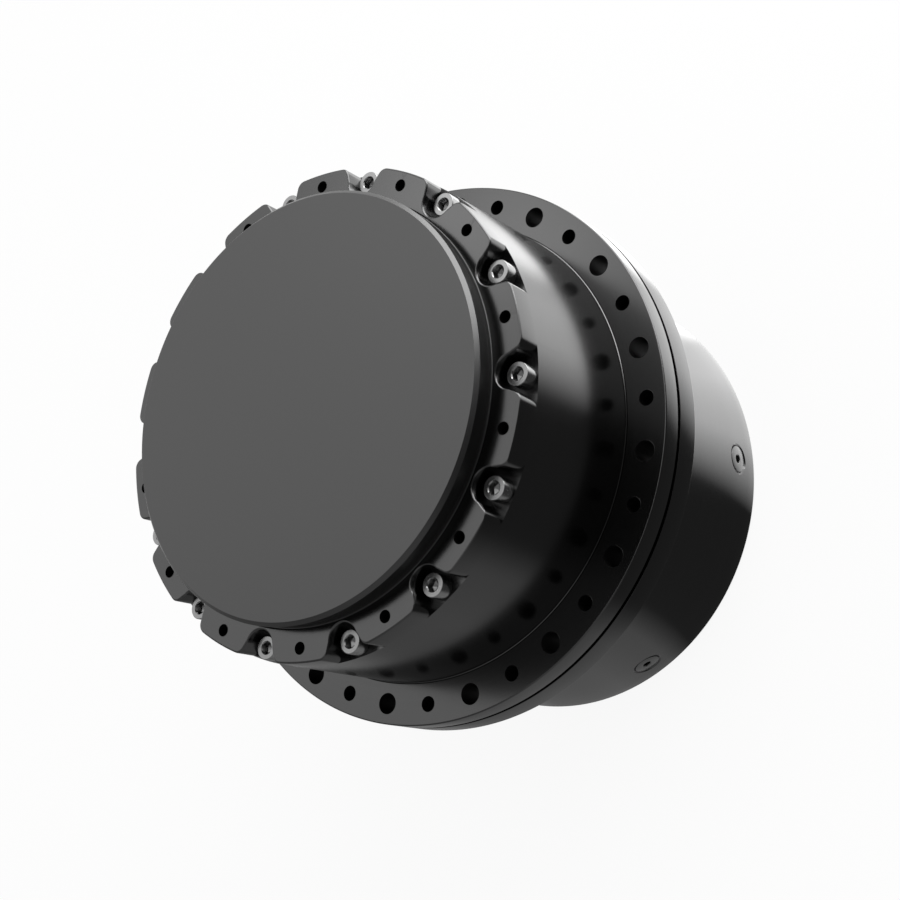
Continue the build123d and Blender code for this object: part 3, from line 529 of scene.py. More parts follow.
FINISHES = (
    # black_anodised paints the walls of its holes a darker grey, 0.03, as the shade inside them.
    Finish("black_anodised", (0.105, 0.105, 0.105), 1.0, 0.2, Pattern.TURNED, 0.35, 0.0006, 0.04, bore=(0.03, 0.5)),
    Finish("disc_grey", (0.105, 0.105, 0.105), 1.0, 0.36, Pattern.BLASTED, 0.2, 0.0008, 0.03),
    Finish("inner_alloy", (0.62, 0.63, 0.65), 1.0, 0.32, Pattern.TURNED, 0.4, 0.002),
    Finish("bright_steel", (0.33, 0.33, 0.33), 1.0, 0.26, Pattern.BLASTED, 0.25, 0.001),
    Finish("black_steel", (0.15, 0.15, 0.15), 1.0, 0.26, Pattern.BLASTED, 0.25, 0.001),
    Finish("hard_steel", (0.5, 0.5, 0.52), 1.0, 0.18, Pattern.TURNED, 0.2, 0.001),
    Finish("bronze", (0.62, 0.42, 0.2), 1.0, 0.35, Pattern.BLASTED, 0.2, 0.004),
    Finish("lamination", (0.3, 0.3, 0.32), 0.9, 0.4, Pattern.STACKED, 0.35, 0.03, 0.3),
    Finish("copper", (0.72, 0.34, 0.16), 0.9, 0.3, Pattern.WOUND, 0.5, 0.15, 0.25, 0.5),
    Finish("magnet", (0.45, 0.45, 0.47), 1.0, 0.22, Pattern.BLASTED, 0.4, 0.002),
    Finish("seal_rubber", (0.03, 0.03, 0.03), 0.0, 0.55, Pattern.BLASTED, 0.3, 0.004),
    Finish("board_green", (0.02, 0.16, 0.08), 0.0, 0.3, Pattern.TRACED, 1.5, 0.03, 0.2, 0.4),
    Finish("chip_black", (0.03, 0.03, 0.03), 0.0, 0.5, Pattern.BLASTED, 0.15, 0.006),
    Finish("capacitor_sleeve", (0.05, 0.05, 0.06), 0.0, 0.25, Pattern.BLASTED, 0.8, 0.004, 0.1, 0.3),
    Finish("connector_plastic", (0.04, 0.04, 0.04), 0.0, 0.42, Pattern.BLASTED, 0.2, 0.006),
    Finish("insulator", (0.85, 0.83, 0.76), 0.0, 0.5, Pattern.BLASTED, 0.6, 0.004),
)


# Sizes that several pieces share


@dataclass(frozen=True)
class Drive:
    """Main sizes of the drive, in millimetres, as the solids have them."""

    body_r: float = 52.0
    flange_r: float = 61.25
    band_z: float = 47.5
    joint_z: float = 54.0
    face_z: float = 60.0
    drum_foot_z: float = 58.0
    ring_z: float = 98.0
    disc_z: float = 103.0
    cap_seat_z: float = 93.0
    pocket_z: float = 92.7
    shell_bore_r: float = 49.0
    flange_bore_r: float = 52.25
    flange_pitch_r: float = 56.75
    flange_count: int = 16
    flange_big_r: float = 2.25
    flange_small_r: float = 1.65
    screw_turn: float = 5.625
    screw_count: int = 8
    spigot_r: float = 53.4
    plate_z: float = 46.4
    plate_top: float = 50.4
    plate_rim_t: float = 2.0
    ring_count: int = 14
    tie_circle_r: float = 49.3
    cover_count: int = 6
    cover_turn: float = 36.6
    cover_z: float = 8.8
    fit_gap: float = 0.05
    fine: float = 0.08  # rounding of a barely broken edge

    @property
    def flange_turn(self) -> float:
        """Angle from a small flange hole to the next large one, in degrees."""
        return 180 / self.flange_count


class Part(Protocol):
    """A piece of the drive that is built with a finish."""

    def build(self, material: Material) -> Object:
        """Makes the piece's mesh."""


# Turning side


@dataclass(frozen=True)
class OutputDrum:
    """The drum: smooth wall, fourteen screw pockets, tapped ring face and the bores inside."""

    drive: Drive = Drive()
    pocket_r: float = 3.45
    flank_start: float = 100.0
    flank_angle: float = 25.0
    lobe_r: float = 2.0
    edge: float = 0.38
    inner_edge: float = 0.2
    recess_r: float = 45.2
    hole_circle_r: float = 49.0
    hole_r: float = 1.25
    hole_depth: float = 8.0
    tie_hole_r: float = 1.45
    foot_bore_r: float = 47.5
    bearing_top: float = 62.8
    bore_r: float = 45.6
    shoulder_r: float = 40.0
    shoulder_z: float = 84.0
    arc_steps: int = 14
    flank_steps: int = 4
    lobe_steps: int = 9
    land_steps: int = 8
    edge_steps: int = 4
    bore_steps: int = 336
    lip: float = 0.14
    lip_z: float = 59.5

    def half_pitch(self) -> tuple[Floats, Floats]:
        """Crown outline and drum rim from a pocket's middle to the middle of the next land.

        The outline follows the pocket's circle, leaves it along a straight flank, turns round a lobe whose circle lies
        inside the drum's and follows the drum's circle. The rim has the same number of points on the drum's circle.

        Returns:
            Two arrays of (x, y) points.
        """
        size = self.drive.body_r
        arc = np.radians(np.linspace(180.0, self.flank_start, self.arc_steps + 1))
        pocket = np.array([self.drive.tie_circle_r, 0.0]) + self.pocket_r * facing(arc)
        slope = math.radians(self.flank_angle)
        along = np.array([math.cos(slope), math.sin(slope)])
        aside = np.array([-math.sin(slope), math.cos(slope)])
        base = pocket[-1] + self.lobe_r * aside
        reach = base @ along
        run = -reach + math.sqrt(reach**2 - base @ base + (size - self.lobe_r) ** 2)
        lobe = base + run * along
        flank = pocket[-1] + along * run * np.linspace(0, 1, self.flank_steps + 1)[1:, None]
        land_start = math.atan2(lobe[1], lobe[0])
        bend = np.linspace(slope - math.pi / 2, land_start, self.lobe_steps + 1)[1:]
        corner = lobe + self.lobe_r * facing(bend)
        land_angle = np.linspace(land_start, math.pi / self.drive.ring_count, self.land_steps + 1)[1:]
        outline = np.vstack([pocket, flank, corner, size * facing(land_angle)])
        mouth = land_start * np.linspace(0, 1, len(outline) - self.land_steps)
        return outline, size * facing(np.concatenate([mouth, land_angle]))

    def whole(self, half: Floats) -> Floats:
        """Mirrors a half pitch and repeats the pitch round the axis.

        Args:
            half: Its (x, y) points.

        Returns:
            The closed loop.
        """
        mirrored = half[::-1] * [1, -1]
        pitch = np.vstack([mirrored[:-1], half])[:-1]
        turn = even(self.drive.ring_count)
        spin = np.stack([np.stack([np.cos(turn), -np.sin(turn)], -1), np.stack([np.sin(turn), np.cos(turn)], -1)], 1)
        return np.einsum("tij,pj->tpi", spin, pitch).reshape(-1, 2)

    @staticmethod
    def inset(loop: Floats, distance: float) -> Floats:
        """Moves a closed loop inwards: each point goes along the mean normal of its two edges.

        Args:
            loop: Its (x, y) points.
            distance: How far each edge moves.

        Returns:
            The moved loop.
        """
        ahead = np.roll(loop, -1, axis=0) - loop
        ahead /= np.hypot(*ahead.T)[:, None]
        left = np.stack([-ahead[:, 1], ahead[:, 0]], axis=-1)
        before = np.roll(left, 1, axis=0)
        share = 1 + np.sum(left * before, axis=-1)
        return loop + distance * (left + before) / share[:, None]

    @staticmethod
    def at(loop: Floats, level: float) -> Floats:
        """Gives a flat loop its level."""
        return np.column_stack([loop, np.full(len(loop), level)])

    def crown(self, outline: Floats) -> Floats:
        """Loops from the pockets' floor up the crown's wall and round its edge: a quarter circle of insets.

        Args:
            outline: The crown's outline.

        Returns:
            The loops, upwards.
        """
        loops = [self.at(outline, self.drive.pocket_z)]
        for a in np.radians(np.linspace(0, 90, self.edge_steps + 1)):
            level = self.drive.ring_z - self.edge * (1 - math.sin(a))
            loops.append(self.at(self.inset(outline, self.edge * (1 - math.cos(a))), level))
        return np.stack(loops)

    def bore(self) -> Floats:
        """Loops from the ring face's inner edge down the bores to the drum's foot."""
        drive = self.drive
        inner = profile(
            (self.recess_r, drive.ring_z, self.inner_edge), (self.recess_r, drive.cap_seat_z),
            (self.shoulder_r, drive.cap_seat_z), (self.shoulder_r, self.shoulder_z), (self.bore_r, self.shoulder_z),
            (self.bore_r, self.bearing_top), (self.foot_bore_r, self.bearing_top),
            (self.foot_bore_r, drive.drum_foot_z),
        )
        mouth = softened(Corner(drive.body_r, drive.ring_z), inner[0], inner[1])
        return turned_strip(np.vstack([mouth, [corner.place() for corner in inner[1:]]]), self.bore_steps)

    def wall(self, rim: Floats) -> Floats:
        """Loops from the pockets' floor down the drum's wall and over the lip to its foot.

        Args:
            rim: The drum's circle.

        Returns:
            The loops, downwards.
        """
        proud = rim * (1 + self.lip / self.drive.body_r)
        top, low = self.drive.face_z + self.lip + self.drive.fit_gap, self.lip_z
        rows = [(rim, self.drive.pocket_z), (rim, top), (proud, top - self.lip), (proud, low + self.lip), (rim, low)]
        return np.stack([self.at(loop, level) for loop, level in (*rows, (rim, self.drive.drum_foot_z))])

    def build(self, material: Material) -> Object:
        """Makes the drum's mesh."""
        drive, surface = self.drive, Surface()
        outline, rim = (self.whole(half) for half in self.half_pitch())
        crown, bore = self.crown(outline), self.bore()
        surface.stack(crown)
        tapped = [
            Hole(place, self.hole_r, drive.ring_z, drive.ring_z - self.hole_depth).cut(surface)[0]
            for place in on_circle(self.hole_circle_r, drive.ring_count, 180 / drive.ring_count)
        ]
        ties = [
            Hole(place, self.tie_hole_r, drive.pocket_z, drive.drum_foot_z, through=True).cut(surface)
            for place in on_circle(drive.tie_circle_r, drive.ring_count)
        ]
        surface.stack(bore)
        surface.fill(crown[-1], bore[0], *tapped)
        surface.stack(self.wall(rim))
        surface.fill(self.at(rim, drive.drum_foot_z), bore[-1], *(end for _, end in ties))
        pitch = len(rim) // drive.ring_count
        half = pitch // 2 - self.land_steps
        for k, (mouth, _) in enumerate(ties):
            span = (np.arange(-half, half + 1) + pitch * k + pitch // 2) % len(rim)
            floor = np.vstack([outline[span], rim[span[1:-1]][::-1]])
            surface.fill(self.at(floor, drive.pocket_z), mouth)
        return surface.piece("drum", material)


@dataclass(frozen=True)
class FrontCap:
    """The plug in the drum's recess and the plain disc in front of it, on a hidden neck."""

    drive: Drive = Drive()
    disc_r: float = 45.3
    neck_r: float = 44.4
    plug_r: float = 45.15
    rim_t: float = 1.1
    seal_r: float = 43.8
    seal_z: float = 93.6
    seal_top: float = 94.9
    lip: float = 0.22
    hollow_r: float = 36.0
    hollow_h: float = 6.0
    edge: float = 0.78
    edge_soft: float = 0.05
    screw_circle_r: float = 42.4
    screw_r: float = 1.3
    screw_depth: float = 4.0
    screws: int = 6

    def build(self, material: Material) -> Object:
        """Makes the cap's mesh."""
        drive, surface = self.drive, Surface()
        seat, top = drive.cap_seat_z, drive.disc_z
        corners = profile(
            (0, seat + self.hollow_h), (self.hollow_r, seat + self.hollow_h), (self.hollow_r, seat),
            (self.plug_r, seat), (self.plug_r, self.seal_z), (self.seal_r, self.seal_z), (self.seal_r, self.seal_top),
            (self.plug_r, self.seal_top), (self.plug_r, drive.ring_z, self.lip), (self.neck_r, drive.ring_z),
            (self.neck_r, top - self.rim_t), (self.disc_r, top - self.rim_t, self.edge_soft),
            (self.disc_r, top - self.edge, self.edge_soft), (self.disc_r - self.edge, top, drive.fine), (0, top),
        )
        holes = [
            Hole(place, self.screw_r, seat, seat + self.screw_depth)
            for place in on_circle(self.screw_circle_r, self.screws)
        ]
        turned(surface, corners, holes)
        return surface.piece("front_disc", material)


# Fixed side


@dataclass(frozen=True)
class MountingFlange:
    """Flange with its ring of holes, spigot, plate, bearing tube and hub, all turned in one piece."""

    drive: Drive = Drive()
    edge: float = 0.3
    line_depth: float = 1.2
    line_h: float = 1.15
    bearing_r: float = 12.05
    hub_r: float = 15.5
    lip_r: float = 10.0
    stator_r: float = 48.95
    rim_z: float = 48.45
    spigot_in_r: float = 52.3
    step_r: float = 42.0
    race_z: float = 54.8
    race_top: float = 62.8
    tube_r: float = 38.6
    tube_in_r: float = 32.1
    bearing_top: float = 51.4
    lip_top: float = 52.4
    screw_r: float = 1.3
    screw_top: float = 58.2
    carrier_circle_r: float = 35.35
    carrier_screw_r: float = 1.55
    carrier_depth: float = 8.0
    carrier_screws: int = 6
    carrier_turn: float = 30.0
    seal_r: float = 53.3
    seal_z: float = 55.5
    seal_top: float = 58.0

    def build(self, material: Material) -> Object:
        """Makes the flange's mesh."""
        drive, surface = self.drive, Surface()
        groove_r, groove_top = drive.flange_r - self.line_depth, drive.joint_z + self.line_h
        corners = profile(
            (self.bearing_r, drive.plate_z), (self.stator_r, drive.plate_z), (self.stator_r, self.rim_z),
            (drive.spigot_r, self.rim_z), (drive.spigot_r, drive.joint_z), (groove_r, drive.joint_z),
            (groove_r, groove_top), (drive.flange_r, groove_top, drive.fine), (drive.flange_r, drive.face_z, self.edge),
            (drive.flange_bore_r, drive.face_z, drive.fine), (drive.flange_bore_r, self.seal_top),
            (self.seal_r, self.seal_top), (self.seal_r, self.seal_z), (drive.flange_bore_r, self.seal_z),
            (drive.flange_bore_r, drive.joint_z), (self.spigot_in_r, drive.joint_z),
            (self.spigot_in_r, drive.plate_top), (self.step_r, drive.plate_top), (self.step_r, self.race_z),
            (self.tube_r, self.race_z), (self.tube_r, self.race_top), (self.tube_in_r, self.race_top),
            (self.tube_in_r, drive.plate_top), (self.hub_r, drive.plate_top), (self.hub_r, self.lip_top),
            (self.lip_r, self.lip_top), (self.lip_r, self.bearing_top), (self.bearing_r, self.bearing_top),
        )
        big = on_circle(drive.flange_pitch_r, drive.flange_count, drive.flange_turn)
        small = on_circle(drive.flange_pitch_r, drive.flange_count)
        screws = on_circle(drive.flange_pitch_r, drive.screw_count, drive.screw_turn)
        carrier = on_circle(self.carrier_circle_r, self.carrier_screws, self.carrier_turn)
        holes = [Hole(place, drive.flange_big_r, drive.face_z, drive.joint_z, through=True) for place in big]
        holes += [Hole(place, drive.flange_small_r, drive.face_z, drive.joint_z, through=True) for place in small]
        holes += [Hole(place, self.screw_r, drive.joint_z, self.screw_top) for place in screws]
        deep = self.race_top - self.carrier_depth
        holes += [Hole(place, self.carrier_screw_r, self.race_top, deep) for place in carrier]
        turned(surface, corners, holes)
        return surface.piece("flange", material)


@dataclass(frozen=True)
class RearCup:
    """Rear cup with the band behind the flange, the web inside and the countersinks of the cover screws."""

    drive: Drive = Drive()
    rear_round: float = 1.2
    edge: float = 0.4
    foot_soft: float = 0.15
    bore_soft: float = 0.1
    web_z: float = 18.0
    web_top: float = 21.5
    hub_r: float = 15.5
    hub_top: float = 24.0
    lip_r: float = 10.0
    lip_z: float = 23.0
    bearing_r: float = 12.05
    hub_low: float = 17.5
    seat_z: float = 50.2
    head_hole_r: float = 2.45
    shank_hole_r: float = 1.45
    sink_r: float = 3.65
    sink_step: float = 0.25
    sink_end_r: float = 1.7
    cell_half: int = 8
    cell_low: float = 4.4
    cell_high: float = 13.2
    cell_rows: int = 16
    ray_steps: int = 6
    steps: int = 600

    def build(self, material: Material) -> Object:
        """Makes the cup's mesh: the turned body without its outer wall, and that wall with its countersinks."""
        drive, surface = self.drive, Surface()
        spigot, ledge = drive.spigot_r + drive.fit_gap, drive.plate_top - drive.plate_rim_t
        corners = profile(
            (drive.body_r, drive.band_z, self.foot_soft), (drive.flange_r, drive.band_z, self.edge),
            (drive.flange_r, drive.joint_z, drive.fine), (spigot, drive.joint_z), (spigot, ledge),
            (drive.shell_bore_r, ledge), (drive.shell_bore_r, self.web_top), (self.hub_r, self.web_top),
            (self.hub_r, self.hub_top), (self.lip_r, self.hub_top), (self.lip_r, self.lip_z),
            (self.bearing_r, self.lip_z), (self.bearing_r, self.hub_low), (self.hub_r, self.hub_low),
            (self.hub_r, self.web_z), (drive.shell_bore_r, self.web_z), (drive.shell_bore_r, 0, self.bore_soft),
            (drive.body_r, 0, self.rear_round),
        )
        big = on_circle(drive.flange_pitch_r, drive.flange_count, drive.flange_turn)
        screws = on_circle(drive.flange_pitch_r, drive.screw_count, drive.screw_turn)
        low, high = drive.band_z, drive.joint_z
        head, shank, seat = self.head_hole_r, self.shank_hole_r, self.seat_z
        holes = [Hole(place, drive.flange_big_r, low, high, through=True) for place in big]
        holes += [Hole(place, head, low, high, through=True, step=shank, step_level=seat) for place in screws]
        turned(surface, corners, holes, self.steps)
        del surface.faces[-self.steps :]  # the last strip is the plain outer wall
        self.outer_wall(surface)
        return surface.piece("cup", material)

    def on_wall(self, across: Floats, level: Floats, middle: float) -> Floats:
        """Points on the outer wall from the distance across and the level: angle = middle + across / radius."""
        return polar(self.drive.body_r, middle + across / self.drive.body_r, level)

    def outer_wall(self, surface: Surface) -> None:
        """Adds the outer wall, with a square of it round each countersink worked out as rays from its middle.

        Args:
            surface: Takes the wall.
        """
        drive, steps = self.drive, self.steps
        start = math.radians(drive.cover_turn)
        step = 2 * np.pi * drive.body_r / steps
        levels = np.linspace(self.cell_low, self.cell_high, self.cell_rows + 1)
        for low, high in ((self.rear_round, self.cell_low), (self.cell_high, drive.band_z - self.foot_soft)):
            surface.stack(polar(drive.body_r, even(steps, start), np.array([[low], [high]])))
        pitch = steps // drive.cover_count
        for middle in even(drive.cover_count, start).tolist():
            plain = step * np.arange(self.cell_half, pitch - self.cell_half + 1)
            across, level = np.meshgrid(plain, levels)
            surface.stack(self.on_wall(across, level, middle), closed=False)
            self.countersink(surface, middle, step, levels)

    def countersink(self, surface: Surface, middle: float, step: float, levels: Floats) -> None:
        """Adds one countersink: rays from a square's edge to a circle, then a cone down to a flat end.

        Args:
            surface: Takes the grid.
            middle: Angle of the screw about the motor axis, in radians.
            step: Width of one column of the wall.
            levels: Levels of the wall's rows.
        """
        width = step * np.arange(-self.cell_half, self.cell_half + 1)
        sides = (
            (width, 0 * width + levels[0]), (0 * levels + width[-1], levels),
            (width[::-1], 0 * width + levels[-1]), (0 * levels + width[0], levels[::-1]),
        )
        square = np.vstack([np.stack(side, -1)[:-1] for side in sides])
        centre = np.array([0, self.drive.cover_z])
        ray = square - centre
        unit = ray / np.hypot(*ray.T)[:, None]
        circle = unit * self.sink_r + centre
        blend = np.linspace(0, 1, self.ray_steps + 1)[:, None, None]
        flat = square * (1 - blend) + circle * blend
        surface.stack(self.on_wall(flat[..., 0], flat[..., 1], middle))
        out = np.array([math.cos(middle), math.sin(middle), 0])
        side, up = np.array([-math.sin(middle), math.cos(middle), 0]), np.array([0, 0, 1])
        rims = [self.on_wall(circle[:, 0], circle[:, 1], middle)]
        for radius in (self.sink_r - self.sink_step, self.sink_end_r):
            depth = self.drive.body_r - (self.sink_r - radius)
            rims.append(out * depth + side * (unit[:, :1] * radius) + up * (unit[:, 1:] * radius + self.drive.cover_z))
        surface.stack(np.stack(rims))
        surface.fill(rims[-1])


# Screws


@dataclass(frozen=True)
class SocketScrew:
    """A screw with a hexagon socket, its seat or face at level 0 and its head upwards.

    Args:
        head: Profile from the top's outer edge down, as (radius, level) points.
        mouth_r: Radius of the socket's countersunk mouth.
        socket: Half the width across the socket's flats.
        depth: How deep the socket goes.
        mouth_slope: Depth of the mouth for its width.
        tip_r: Radius of the drill's tip, as a share of the socket.
        tip_h: Depth of the drill's tip, as a share of the socket.
        steps: Points round it.
    """

    head: Sequence[Place]
    mouth_r: float
    socket: float
    depth: float
    mouth_slope: float = 0.6
    tip_r: float = 0.4
    tip_h: float = 0.3
    steps: int = 36

    def hexagon(self, level: float) -> Floats:
        """The socket's outline: radius = half width / cos of the angle to the nearest side's middle."""
        angle = even(self.steps)
        nearest = (angle + np.pi / 6) % (np.pi / 3) - np.pi / 6
        return polar(self.socket / np.cos(nearest), angle, level)

    def surface(self) -> Surface:
        """The screw as one closed surface."""
        made, top = Surface(), self.head[0][1]
        loops = [polar(radius, even(self.steps), level) for radius, level in (*self.head[::-1], (self.mouth_r, top))]
        made.fill(loops[0])
        loops.append(self.hexagon(top - (self.mouth_r - self.socket) * self.mouth_slope))
        loops.append(self.hexagon(top - self.depth))
        tip = top - self.depth - self.socket * self.tip_h
        loops.append(polar(self.socket * self.tip_r, even(self.steps), tip))
        made.stack(np.stack(loops))
        made.fill(loops[-1])
        return made


@dataclass(frozen=True)
class TieScrews:
    """Fourteen cap screws in the drum's pockets."""

    drive: Drive = Drive()
    head_r: float = 2.42
    head_h: float = 3.1
    shank_r: float = 1.25
    thread_r: float = 1.0
    thread_top: float = 58.05
    thread_end: float = 51.2
    edge: float = 0.14
    mouth_r: float = 1.45
    socket: float = 1.2
    depth: float = 1.9
    seed: int = 14
    crease: float = 30.0

    def build(self, material: Material) -> Object:
        """Makes the screws as one mesh."""
        seat, foot = self.drive.pocket_z, self.drive.fine
        head = [
            (self.head_r - self.edge * (1 - math.cos(a)), self.head_h - self.edge * (1 - math.sin(a)))
            for a in np.radians([90.0, 67.5, 45.0, 22.5, 0.0])
        ]
        head += [(self.head_r, foot), (self.head_r - foot, 0.0), (self.shank_r, 0.0)]
        head += [(self.shank_r, self.thread_top - seat), (self.thread_r, self.thread_top - seat)]
        head += [(self.thread_r, self.thread_end - seat)]
        one = SocketScrew(head, self.mouth_r, self.socket, self.depth).surface()
        surface = Surface()
        chance = np.random.default_rng(self.seed)
        for x, y in on_circle(self.drive.tie_circle_r, self.drive.ring_count):
            spin = np.array(Matrix.Rotation(chance.uniform(0, math.pi / 3), 3, "Z"))
            surface.take(one, spin, np.array([x, y, seat]))
        return surface.piece("pocket_screws", material, self.crease)


@dataclass(frozen=True)
class CoverScrews:
    """Six countersunk screws through the cup's wall."""

    drive: Drive = Drive()
    sink: float = 0.12
    head_r: float = 3.02
    edge: float = 0.1
    edge_soft: float = 0.03
    shank_r: float = 1.5
    length: float = 6.9
    mouth_r: float = 1.15
    socket: float = 0.9
    depth: float = 1.3
    seed: int = 6
    crease: float = 30.0

    def build(self, material: Material) -> Object:
        """Makes the screws as one mesh."""
        head = [(self.head_r - self.edge, 0.0), (self.head_r - self.edge_soft, -self.edge_soft)]
        head += [(self.head_r, -self.edge), (self.shank_r, -(self.head_r - self.shank_r) - self.edge)]
        head += [(self.shank_r, -self.length)]
        one = SocketScrew(head, self.mouth_r, self.socket, self.depth).surface()
        surface = Surface()
        chance = np.random.default_rng(self.seed)
        reach = self.drive.body_r - self.sink
        for angle in even(self.drive.cover_count, math.radians(self.drive.cover_turn)).tolist():
            around_axis = Matrix.Rotation(angle, 3, "Z")
            spin = around_axis @ Matrix.Rotation(math.pi / 2, 3, "Y") @ Matrix.Rotation(chance.uniform(0, 1), 3, "Z")
            shift = around_axis @ Vector((reach, 0, 0)) + Vector((0, 0, self.drive.cover_z))
            surface.take(one, np.array(spin), np.array(shift))
        return surface.piece("cup_screws", material, self.crease)


# Studio


@dataclass(frozen=True)
class Lamp:
    """A square soft lamp that faces the drive.

    Args:
        name: Its name.
        azimuth: Its direction about the motor axis, in degrees.
        elevation: Its height angle, in degrees.
        width: Its side, in millimetres.
        power: Its power, in watts.
        reach: Its distance, in millimetres.
        target: Level on the motor axis that it faces, in millimetres.
    """

    name: str
    azimuth: float
    elevation: float
    width: float
    power: float
    reach: float = 700.0
    target: float = 60.0

    def hang(self) -> None:
        """Puts the lamp in the scene."""
        data = bpy.data.lights.new(self.name, "AREA")
        data.size, data.energy = self.width * MM, self.power
        az, el = math.radians(self.azimuth), math.radians(self.elevation)
        out = Vector((math.cos(el) * math.cos(az), math.cos(el) * math.sin(az), math.sin(el)))
        made = bpy.data.objects.new(self.name, data)
        made.location = Vector((0, 0, self.target * MM)) + out * self.reach * MM
        made.rotation_euler = out.to_track_quat("Z", "Y").to_euler()
        bpy.context.scene.collection.objects.link(made)


@dataclass(frozen=True)
class Studio:
    """Pale floor, soft light and the camera at the photograph's angle.

    The camera's place is given by the point that it looks at, in millimetres, its distance from there and three angles
    in degrees. It stands well to one side, because the photograph shows the drive lying in the air. The painted fields
    are pairs of a direction about the motor axis, in degrees, and a brightness: the floor and the world glow with them
    in reflections only, which paints highlights and dark reflections into the metal.
    """

    aim: tuple[float, float, float] = (1.307, 1.136, 51.091)
    distance: float = 354.774
    azimuth: float = 131.0005
    elevation: float = -50.9168
    roll: float = 70.0575
    lens: float = 62.26
    sensor: float = 36.0
    floor_w: float = 6000.0
    floor_grey: float = 0.9
    floor_share: float = 0.9  # how far the floor shows as white rather than with its shadow
    world: float = 0.7
    brightest: float = 4.0
    # Painted reflections: fields of brightness round the drive that the floor and the world glow with for reflections
    # only, from 0.07, a painted dark reflection, to 3.4, a painted highlight.
    painted_fields_middle: Place = (6.0, -31.0)
    painted_fields: tuple[Place, ...] = (
        (-180, 0.25), (-170, 0.3), (-153, 0.2), (-137, 0.25), (-120, 0.33), (-85, 0.33), (-66, 0.07), (0, 0.07),
        (9, 1.1), (20, 2.1), (36, 2.1), (46, 1.55), (55, 3.4), (64, 2.6), (74, 1.4), (85, 1.1), (100, 1.0),
        (146, 1.0), (157, 0.6), (172, 0.25), (180, 0.25),
    )
    lamps: tuple[Lamp, ...] = (Lamp("key", 40, 16, 720, 6.0), Lamp("top", 112, 50, 100, 0.042))

    def camera(self) -> None:
        """Places the camera."""
        az, el, roll = (math.radians(angle) for angle in (self.azimuth, self.elevation, self.roll))
        ahead = Vector((math.cos(el) * math.cos(az), math.cos(el) * math.sin(az), math.sin(el)))
        level_right = ahead.cross(Vector((0, 0, 1))).normalized()
        level_up = level_right.cross(ahead)
        up = math.cos(roll) * level_up + math.sin(roll) * level_right
        right = math.cos(roll) * level_right - math.sin(roll) * level_up
        place = (Vector(self.aim) - self.distance * ahead) * MM
        data = bpy.data.cameras.new("camera")
        data.lens, data.sensor_width = self.lens, self.sensor
        data.clip_start, data.clip_end = 0.01, 50
        made = bpy.data.objects.new("camera", data)
        made.matrix_world = Matrix.Translation(place) @ Matrix((right, up, -ahead)).transposed().to_4x4()
        bpy.context.scene.collection.objects.link(made)
        bpy.context.scene.camera = made

    def seen(self, graph: Graph, camera_share: float = 1.0) -> Socket:
        """Tells rays that see a thing from the light on it.

        Args:
            graph: The floor's or the world's nodes.
            camera_share: The result for rays from the camera.

        Returns:
            1 for a reflection or a clear piece, the share for the camera, and 0 for light on a surface.
        """
        path = graph.node("LightPath").outputs
        total = graph.math("MULTIPLY", path["Is Camera Ray"], camera_share)
        for name in ("Is Glossy Ray", "Is Transmission Ray"):
            total = graph.math("MAXIMUM", total, path[name])
        return total

    def painted_field_level(self, graph: Graph, source: str, middle: Place = (0.0, 0.0)) -> Socket:
        """Brightness of the painted fields round the drive, which paint highlights and dark reflections: a ramp over
        the direction, level = f(atan2(y - y0, x - x0)).

        Args:
            graph: The floor's or the world's nodes.
            source: Output of the coordinates node to read.
            middle: The point (x0, y0), in millimetres.

        Returns:
            The brightness.
        """
        split = graph.node("SeparateXYZ", {0: graph.node("TexCoord").outputs[source]}).outputs
        x = graph.math("SUBTRACT", split["X"], middle[0] * MM)
        y = graph.math("SUBTRACT", split["Y"], middle[1] * MM)
        share = graph.math("MULTIPLY_ADD", graph.math("ARCTAN2", y, x), 0.5 / math.pi, 0.5)
        ramp = graph.node("ValToRGB", {"Fac": share})
        stops = ramp.color_ramp.elements
        for angle, _ in self.painted_fields[1:-1]:
            stops.new(angle / 360 + 0.5)
        for stop, (_, level) in zip(stops, self.painted_fields):
            grey = level / self.brightest
            stop.color = (grey, grey, grey, 1)
        return graph.math("MULTIPLY", ramp.outputs["Color"], self.brightest)

    def reflected(self, graph: Graph, plain: Value, painted_field_level: Socket) -> Socket:
        """The painted fields in reflections, as painted highlights and dark reflections, and a plain level otherwise.
        """
        glossy = graph.node("LightPath").outputs["Is Glossy Ray"]
        return graph.math("MULTIPLY_ADD", glossy, graph.math("SUBTRACT", painted_field_level, plain), plain)

    def floor(self) -> None:
        """Lays the pale floor, which shows as white, keeps a soft shadow and glows with the painted fields in
        reflections.
        """
        side = np.linspace(-self.floor_w / 2, self.floor_w / 2, 3)
        across, along = np.meshgrid(side, side)
        surface = Surface()
        surface.stack(np.stack([across, along, 0 * across], axis=-1), closed=False)
        made = bpy.data.materials.new("floor")
        made.use_nodes = True
        tree = made.node_tree
        tree.nodes.remove(tree.nodes["Principled BSDF"])
        graph = Graph(tree)
        matt = graph.node("BsdfDiffuse", {"Color": (*[self.floor_grey] * 3, 1)})
        # For reflections the floor glows with the painted fields: painted highlights and painted dark reflections in
        # the metal, up to 3.4 times white.
        level = self.reflected(graph, 1.0, self.painted_field_level(graph, "Object", self.painted_fields_middle))
        glow = graph.node("Emission", {"Strength": level})
        share = self.seen(graph, self.floor_share)
        mix = graph.node("MixShader", {"Fac": share, 1: matt.outputs[0], 2: glow.outputs[0]})
        graph.feed(tree.nodes["Material Output"], {"Surface": mix.outputs[0]})
        surface.piece("floor", made)

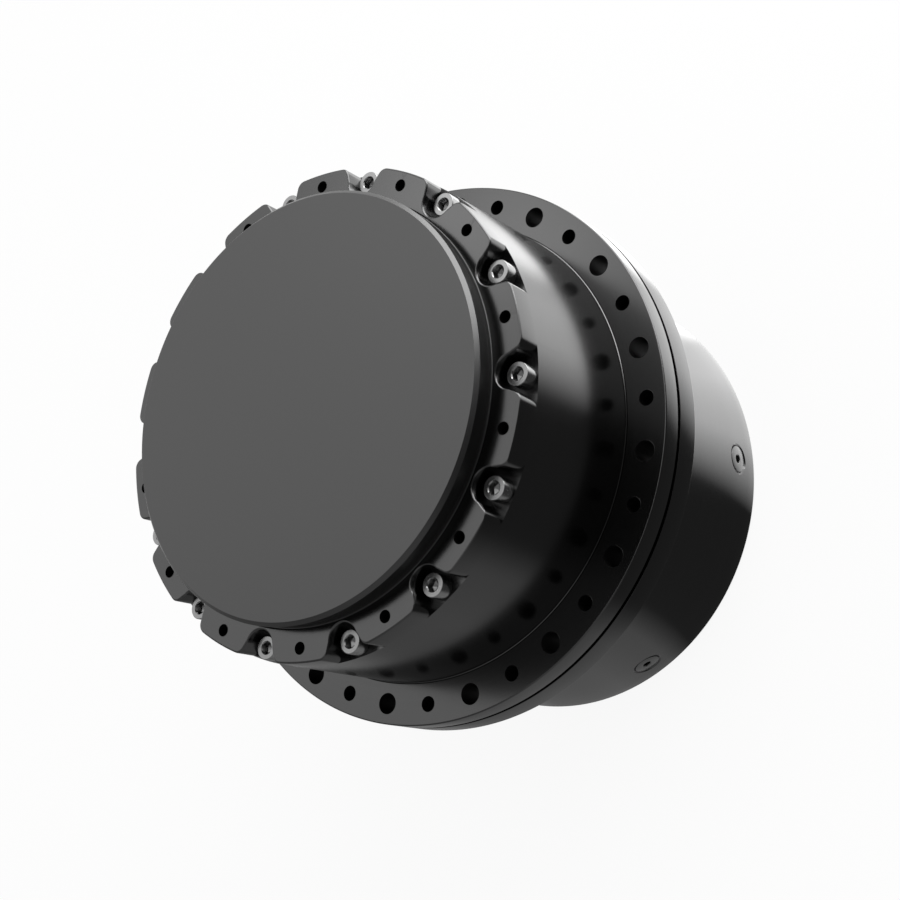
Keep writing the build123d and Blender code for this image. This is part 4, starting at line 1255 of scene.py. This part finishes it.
    def sky(self) -> None:
        """Sets a world that is even on surfaces, shows as white, and shows the painted fields, at most white, in
        reflections.
        """
        world = bpy.data.worlds.new("studio")
        bpy.context.scene.world = world
        world.use_nodes = True
        graph = Graph(world.node_tree)
        plain = graph.math("MULTIPLY_ADD", self.seen(graph), 1.0 - self.world, self.world)
        # For reflections the world glows with the painted fields, at most white: painted highlights and painted dark
        # reflections.
        painted_field_level = graph.math("MINIMUM", self.painted_field_level(graph, "Generated"), 1.0)
        level = self.reflected(graph, plain, painted_field_level)
        graph.feed(world.node_tree.nodes["Background"], {"Strength": level, "Color": (1, 1, 1, 1)})

    def build(self) -> None:
        """Sets the camera, the floor and the light."""
        bpy.context.scene.view_settings.view_transform = "Standard"
        self.camera()
        self.floor()
        self.sky()
        for lamp in self.lamps:
            lamp.hang()


# The whole drive


@dataclass(frozen=True)
class Stand:
    """A new piece with the body that it rides on, the node that it stands for and its slot."""

    part: Part
    body: str
    node: str
    slot: str

    def place(self, material: Material) -> None:
        """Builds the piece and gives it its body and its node.

        Args:
            material: Its finish.
        """
        piece = self.part.build(material)
        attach(piece, self.body)
        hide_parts(self.node)
        log.info("%s: %d faces, stands for %s", piece.name, len(piece.data.polygons), self.node)


def dress_nodes(frame: dict, materials: dict[str, Material]) -> None:
    """Gives every solid of the frame its slot's finish.

    Args:
        materials: Finishes by slot.
    """
    for row in frame["record"]["subparts"]:
        data = frame["nodes"][row["node"]].data
        data.materials.clear()
        data.materials.append(materials[row["material_slot"]])


def main() -> None:
    """Loads the frame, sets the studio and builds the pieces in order."""
    logging.basicConfig(level=logging.INFO, format="%(message)s")
    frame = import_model()
    Studio().build()
    materials = {finish.slot: finish.material() for finish in FINISHES}
    dress_nodes(frame, materials)
    drive = Drive()
    stands = (
        Stand(OutputDrum(drive), "output", "output_drum", "black_anodised"),
        Stand(FrontCap(drive), "output", "front_cap", "disc_grey"),
        Stand(TieScrews(drive), "output", "tie_screws", "bright_steel"),
        Stand(MountingFlange(drive), "housing", "gearbox_flange", "black_anodised"),
        Stand(RearCup(drive), "housing", "rear_housing", "black_anodised"),
        Stand(CoverScrews(drive), "housing", "cover_screws", "black_steel"),
    )
    for stand in stands:
        stand.place(materials[stand.slot])


if __name__ == "__main__":
    main()
